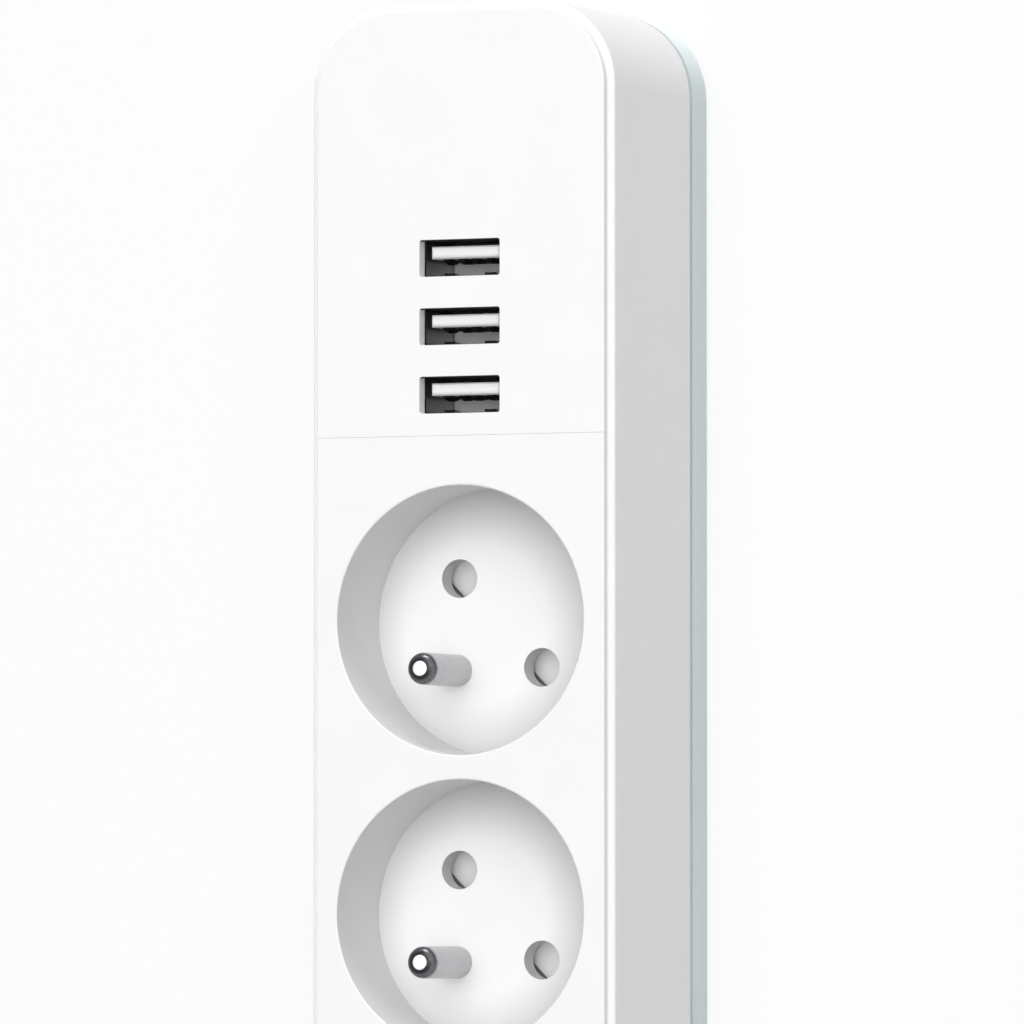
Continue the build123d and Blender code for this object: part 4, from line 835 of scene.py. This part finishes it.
class POWERSTRIP_OT_components(Operator):
    """Finish what stands on the circuit boards"""

    bl_idname = "power_strip.components"
    bl_label = "Components"

    def execute(self, context):
        colours = settings().colours
        dress(moulded_plastic("relay_case", colours.relay, roughness=0.4, grain=1.5), ["relays"])
        dress(moulded_plastic("varistor_coat", colours.relay, roughness=0.3, grain=4.0), ["varistor"])
        header = moulded_plastic("header_black", colours.black, roughness=0.45)
        dress(header, ["wire_headers", "board_link"])
        taped = wound_core("transformer_tape", "transformer", colours.tape, colours.ferrite)
        dress(taped, ["transformer"])
        sleeved = sleeved_can("capacitor_sleeve", "capacitors", colours.black, colours.aluminium)
        dress(sleeved, ["capacitors"])
        dress(capped_ceramic("fuse_ceramic", "fuse"), ["fuse"])
        dress(shielded_module("module_shield", "wireless_module"), ["wireless_module"])
        return {"FINISHED"}


class POWERSTRIP_OT_conductors(Operator):
    """Finish the busbars, the contacts, the wires and the flat cable"""

    bl_idname = "power_strip.conductors"
    bl_label = "Conductors"

    def execute(self, context):
        colours = settings().colours
        sheet = rolled_sheet("brass_sheet", colours.brass, roughness=0.32, rolled=ALONG)
        dress(sheet, ["neutral_busbar", "earth_busbar"] + numbered("live_contact", SOCKET_NUMBERS))
        wire = cable_jacket("wire_brown", colours.wire)
        dress(wire, ["live_feed_wire"] + numbered("live_wire", SOCKET_NUMBERS))
        dress(cable_jacket("cable_grey", colours.cable), ["button_cable"])
        return {"FINISHED"}


class POWERSTRIP_OT_fasteners(Operator):
    """Finish the cover screws and the board screws"""

    bl_idname = "power_strip.fasteners"
    bl_label = "Fasteners"

    def execute(self, context):
        steel = rolled_sheet("screw_steel", settings().colours.steel, roughness=0.32)
        dress(steel, ["cover_screws", "board_screws"])
        return {"FINISHED"}


class POWERSTRIP_OT_cord_entry(Operator):
    """Finish the cord gland and the terminal block behind it"""

    bl_idname = "power_strip.cord_entry"
    bl_label = "Cord entry"

    def execute(self, context):
        colours = settings().colours
        dress(moulded_plastic("gland_white", colours.gland, roughness=0.6, grain=2.0), ["cord_gland"])
        block = moulded_plastic("terminal_plastic", colours.carrier, roughness=0.45, grain=1.5)
        dress(block, ["terminal_block"])
        dress(rolled_sheet("terminal_brass", colours.brass, roughness=0.3), ["terminal_screws"])
        return {"FINISHED"}


def spring_heights(turns, height):
    """Heights of the wire's middle along a spring whose end turns lie close."""
    wire = settings().springs.wire
    closed = settings().springs.closed_turns
    lift = (height - wire - 2 * closed * wire) / (turns - 2 * closed)
    heights = []
    for step in range(turns * STEPS_IN_A_TURN + 1):
        turn = step / STEPS_IN_A_TURN
        start = min(turn, closed)
        end = max(0.0, turn - (turns - closed))
        heights.append(wire / 2 + (start + end) * wire + (turn - start - end) * lift)
    return heights


def spring_mesh(name, foot, axis, height, diameter, turns):
    """A round wire wound about an axis, from its foot up."""
    wire = settings().springs.wire
    radius = (diameter - wire) / 2
    side = axis.orthogonal().normalized()
    other = axis.cross(side)
    places = []
    for step, rise in enumerate(spring_heights(turns, height)):
        angle = 2 * math.pi * step / STEPS_IN_A_TURN
        outward = side * math.cos(angle) + other * math.sin(angle)
        core = foot + axis * rise + outward * radius
        for number in range(WIRE_SIDES):
            around = 2 * math.pi * number / WIRE_SIDES
            places.append(core + (outward * math.cos(around) + axis * math.sin(around)) * wire / 2)
    last = len(places) - 1
    faces = [list(range(WIRE_SIDES)), list(range(last, last - WIRE_SIDES, -1))]
    for start in range(0, len(places) - WIRE_SIDES, WIRE_SIDES):
        for number in range(WIRE_SIDES):
            first = start + number
            second = start + (number + 1) % WIRE_SIDES
            faces.append([first, first + WIRE_SIDES, second + WIRE_SIDES, second])
    mesh = bpy.data.meshes.new(name)
    mesh.from_pydata(places, [], faces)
    mesh.validate()
    mesh.shade_smooth()
    return mesh


def wind_spring(node, axis, centre, diameter, turns, material):
    """Winds one spring about a centre line in place of its node, and hangs it on the housing."""
    reaches = [vertex.co.dot(axis) for vertex in NODES[node].data.vertices]
    foot = centre + axis * (min(reaches) - centre.dot(axis))
    height = max(reaches) - min(reaches)
    name = node + "_wound"
    mesh = spring_mesh(name, foot, axis, height, diameter, turns)
    mesh.materials.append(material)
    spring = bpy.data.objects.new(name, mesh)
    bpy.context.scene.collection.objects.link(spring)
    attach(spring, "housing")
    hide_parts(node)
    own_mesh(spring)


class POWERSTRIP_OT_springs(Operator):
    """Wind the shutter springs and the button spring"""

    bl_idname = "power_strip.springs"
    bl_label = "Springs"

    def execute(self, context):
        sizes = settings().springs
        material = drawn_wire("spring_wire", settings().colours.steel)
        slant = Vector((1.0, 1.0, 0.0)).normalized()
        for number in SOCKET_NUMBERS:
            node = f"shutter_spring_{number}"
            low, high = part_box(node)
            centre = middle(f"socket_insert_{number}")
            centre.z = (low.z + high.z) / 2
            wind_spring(node, slant, centre, high.z - low.z, sizes.shutter_turns, material)
        node = "button_spring"
        upright = Vector((0.0, 0.0, 1.0))
        low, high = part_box(node)
        centre = middle("power_button")
        wind_spring(node, upright, centre, high.x - low.x, sizes.button_turns, material)
        return {"FINISHED"}


def floor_mesh(studio):
    """Floor around the strip's outline, with a window under the strip that shows its back."""
    drop = studio.floor_drop
    back = [vertex.co for vertex in NODES["back_cover"].data.vertices if vertex.co.z < drop]
    outline = [back[number] for number in convex_hull_2d([corner.xy for corner in back])]
    grow = [studio.floor_reach / max(corner[axis] for corner in outline) for axis in (ACROSS, ALONG)]
    window = [(corner.x, corner.y, -drop) for corner in outline]
    edge = [(corner.x * grow[ACROSS], corner.y * grow[ALONG], -drop) for corner in outline]
    count = len(outline)
    following = [(number + 1) % count for number in range(count)]
    sides = [(number, number + count, after + count, after) for number, after in enumerate(following)]
    mesh = bpy.data.meshes.new("studio_floor")
    mesh.from_pydata(window + edge, [], sides)
    return mesh


def floor_finish(studio):
    """Pale floor that is lifted to white where the picture shows it, and keeps the strip's shadow."""
    finish = Finish("studio_floor", {"Roughness": 0.9})
    tone = [studio.floor_tone] * 3
    finish.paint(finish.tones(finish.noise(size=0.4), shaded(tone, 0.99), tone))
    glow = finish.node("ShaderNodeEmission", {"Strength": 1.0})
    lift = finish.maths("MULTIPLY", finish.shown(), studio.floor_lift)
    inputs = {0: lift, 1: finish.shader.outputs[0], 2: glow.outputs[0]}
    lifted = finish.node("ShaderNodeMixShader", inputs)
    finish.give(finish.tree.nodes["Material Output"].inputs["Surface"], lifted.outputs[0])
    return finish.material


def studio_floor(studio):
    """The floor that the strip lies on."""
    mesh = floor_mesh(studio)
    mesh.materials.append(floor_finish(studio))
    floor = bpy.data.objects.new("studio_floor", mesh)
    bpy.context.scene.collection.objects.link(floor)


def studio_world(studio):
    """Room that is brightest overhead, and plain white under the floor and where the picture shows it."""
    world = bpy.data.worlds.new("studio_room")
    world.use_nodes = True
    room = Tree(world.node_tree)
    height = room.part(room.node("ShaderNodeTexCoord").outputs["Generated"], UP)
    dome = room.spread(height, studio.horizon, studio.zenith)
    below = room.maths("LESS_THAN", height, 0.0)
    strength = room.maths("MAXIMUM", room.maths("MAXIMUM", dome, below), room.shown())
    background = room.tree.nodes["Background"].inputs
    room.give(background["Color"], rgba(WHITE))
    room.give(background["Strength"], strength)
    bpy.context.scene.world = world


def studio_lamp(name, location, side, energy):
    """Square soft lamp that shines on the strip and isn't in the picture itself."""
    data = bpy.data.lights.new(name, "AREA")
    data.shape = "SQUARE"
    data.size = side
    data.energy = energy
    lamp = bpy.data.objects.new(name, data)
    lamp.location = location
    lamp.rotation_mode = "QUATERNION"
    lamp.rotation_quaternion = (-Vector(location)).to_track_quat("-Z", "Y")
    lamp.visible_camera = False
    bpy.context.scene.collection.objects.link(lamp)


def studio_camera(studio):
    """Long lens that looks down on the front, turned towards the side wall."""
    data = bpy.data.cameras.new("studio_camera")
    data.lens = data.sensor_width * studio.distance / studio.view_height
    data.clip_end = CAMERA_REACH
    camera = bpy.data.objects.new("studio_camera", data)
    sideways = math.sin(studio.yaw) * studio.distance
    upwards = math.cos(studio.yaw) * studio.distance
    back = Vector((sideways, -studio.drop, upwards))
    camera.location = Vector(studio.target) + back
    right = Vector((0.0, 1.0, 0.0)).cross(back).normalized()
    above = back.cross(right).normalized()
    camera.rotation_mode = "QUATERNION"
    turn = Matrix((right, above, back.normalized())).transposed()
    camera.rotation_quaternion = turn.to_quaternion()
    bpy.context.scene.collection.objects.link(camera)
    bpy.context.scene.camera = camera


class POWERSTRIP_OT_stage(Operator):
    """Set up the floor, the light and the camera"""

    bl_idname = "power_strip.stage"
    bl_label = "Stage"

    def execute(self, context):
        studio = settings().studio
        studio_floor(studio)
        studio_world(studio)
        studio_lamp("key_lamp", studio.key_place, studio.key_side, studio.key_power)
        studio_lamp("end_lamp", studio.end_place, studio.end_side, studio.end_power)
        studio_camera(studio)
        context.scene.view_settings.view_transform = "Standard"
        return {"FINISHED"}


STEPS = (
    POWERSTRIP_OT_housing,
    POWERSTRIP_OT_sockets,
    POWERSTRIP_OT_earth_pins,
    POWERSTRIP_OT_usb_ports,
    POWERSTRIP_OT_button,
    POWERSTRIP_OT_boards,
    POWERSTRIP_OT_components,
    POWERSTRIP_OT_conductors,
    POWERSTRIP_OT_fasteners,
    POWERSTRIP_OT_cord_entry,
    POWERSTRIP_OT_springs,
    POWERSTRIP_OT_stage,
)


class POWERSTRIP_PT_sidebar(Panel):
    """Sidebar with the strip's steps and settings"""

    bl_idname = "POWERSTRIP_PT_sidebar"
    bl_label = "Power strip"
    bl_space_type = "VIEW_3D"
    bl_region_type = "UI"
    bl_category = "Power strip"

    def draw(self, context):
        for step in STEPS:
            self.layout.operator(step.bl_idname)
        strip = context.scene.power_strip
        for group in (strip.colours, strip.textures, strip.components, strip.springs, strip.studio):
            box = self.layout.box()
            for name in group.__annotations__:
                box.prop(group, name)


CLASSES = (
    StripColours,
    StripTextures,
    ComponentSizes,
    SpringSizes,
    StudioSettings,
    StripSettings,
    *STEPS,
    POWERSTRIP_PT_sidebar,
)


def register():
    for kind in CLASSES:
        bpy.utils.register_class(kind)
    bpy.types.Scene.power_strip = PointerProperty(type=StripSettings)


def unregister():
    del bpy.types.Scene.power_strip
    for kind in reversed(CLASSES):
        bpy.utils.unregister_class(kind)


def main():
    """Register the add-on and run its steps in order."""
    register()
    for step in STEPS:
        group, name = step.bl_idname.split(".")
        getattr(getattr(bpy.ops, group), name)()


if __name__ == "__main__":
    main()
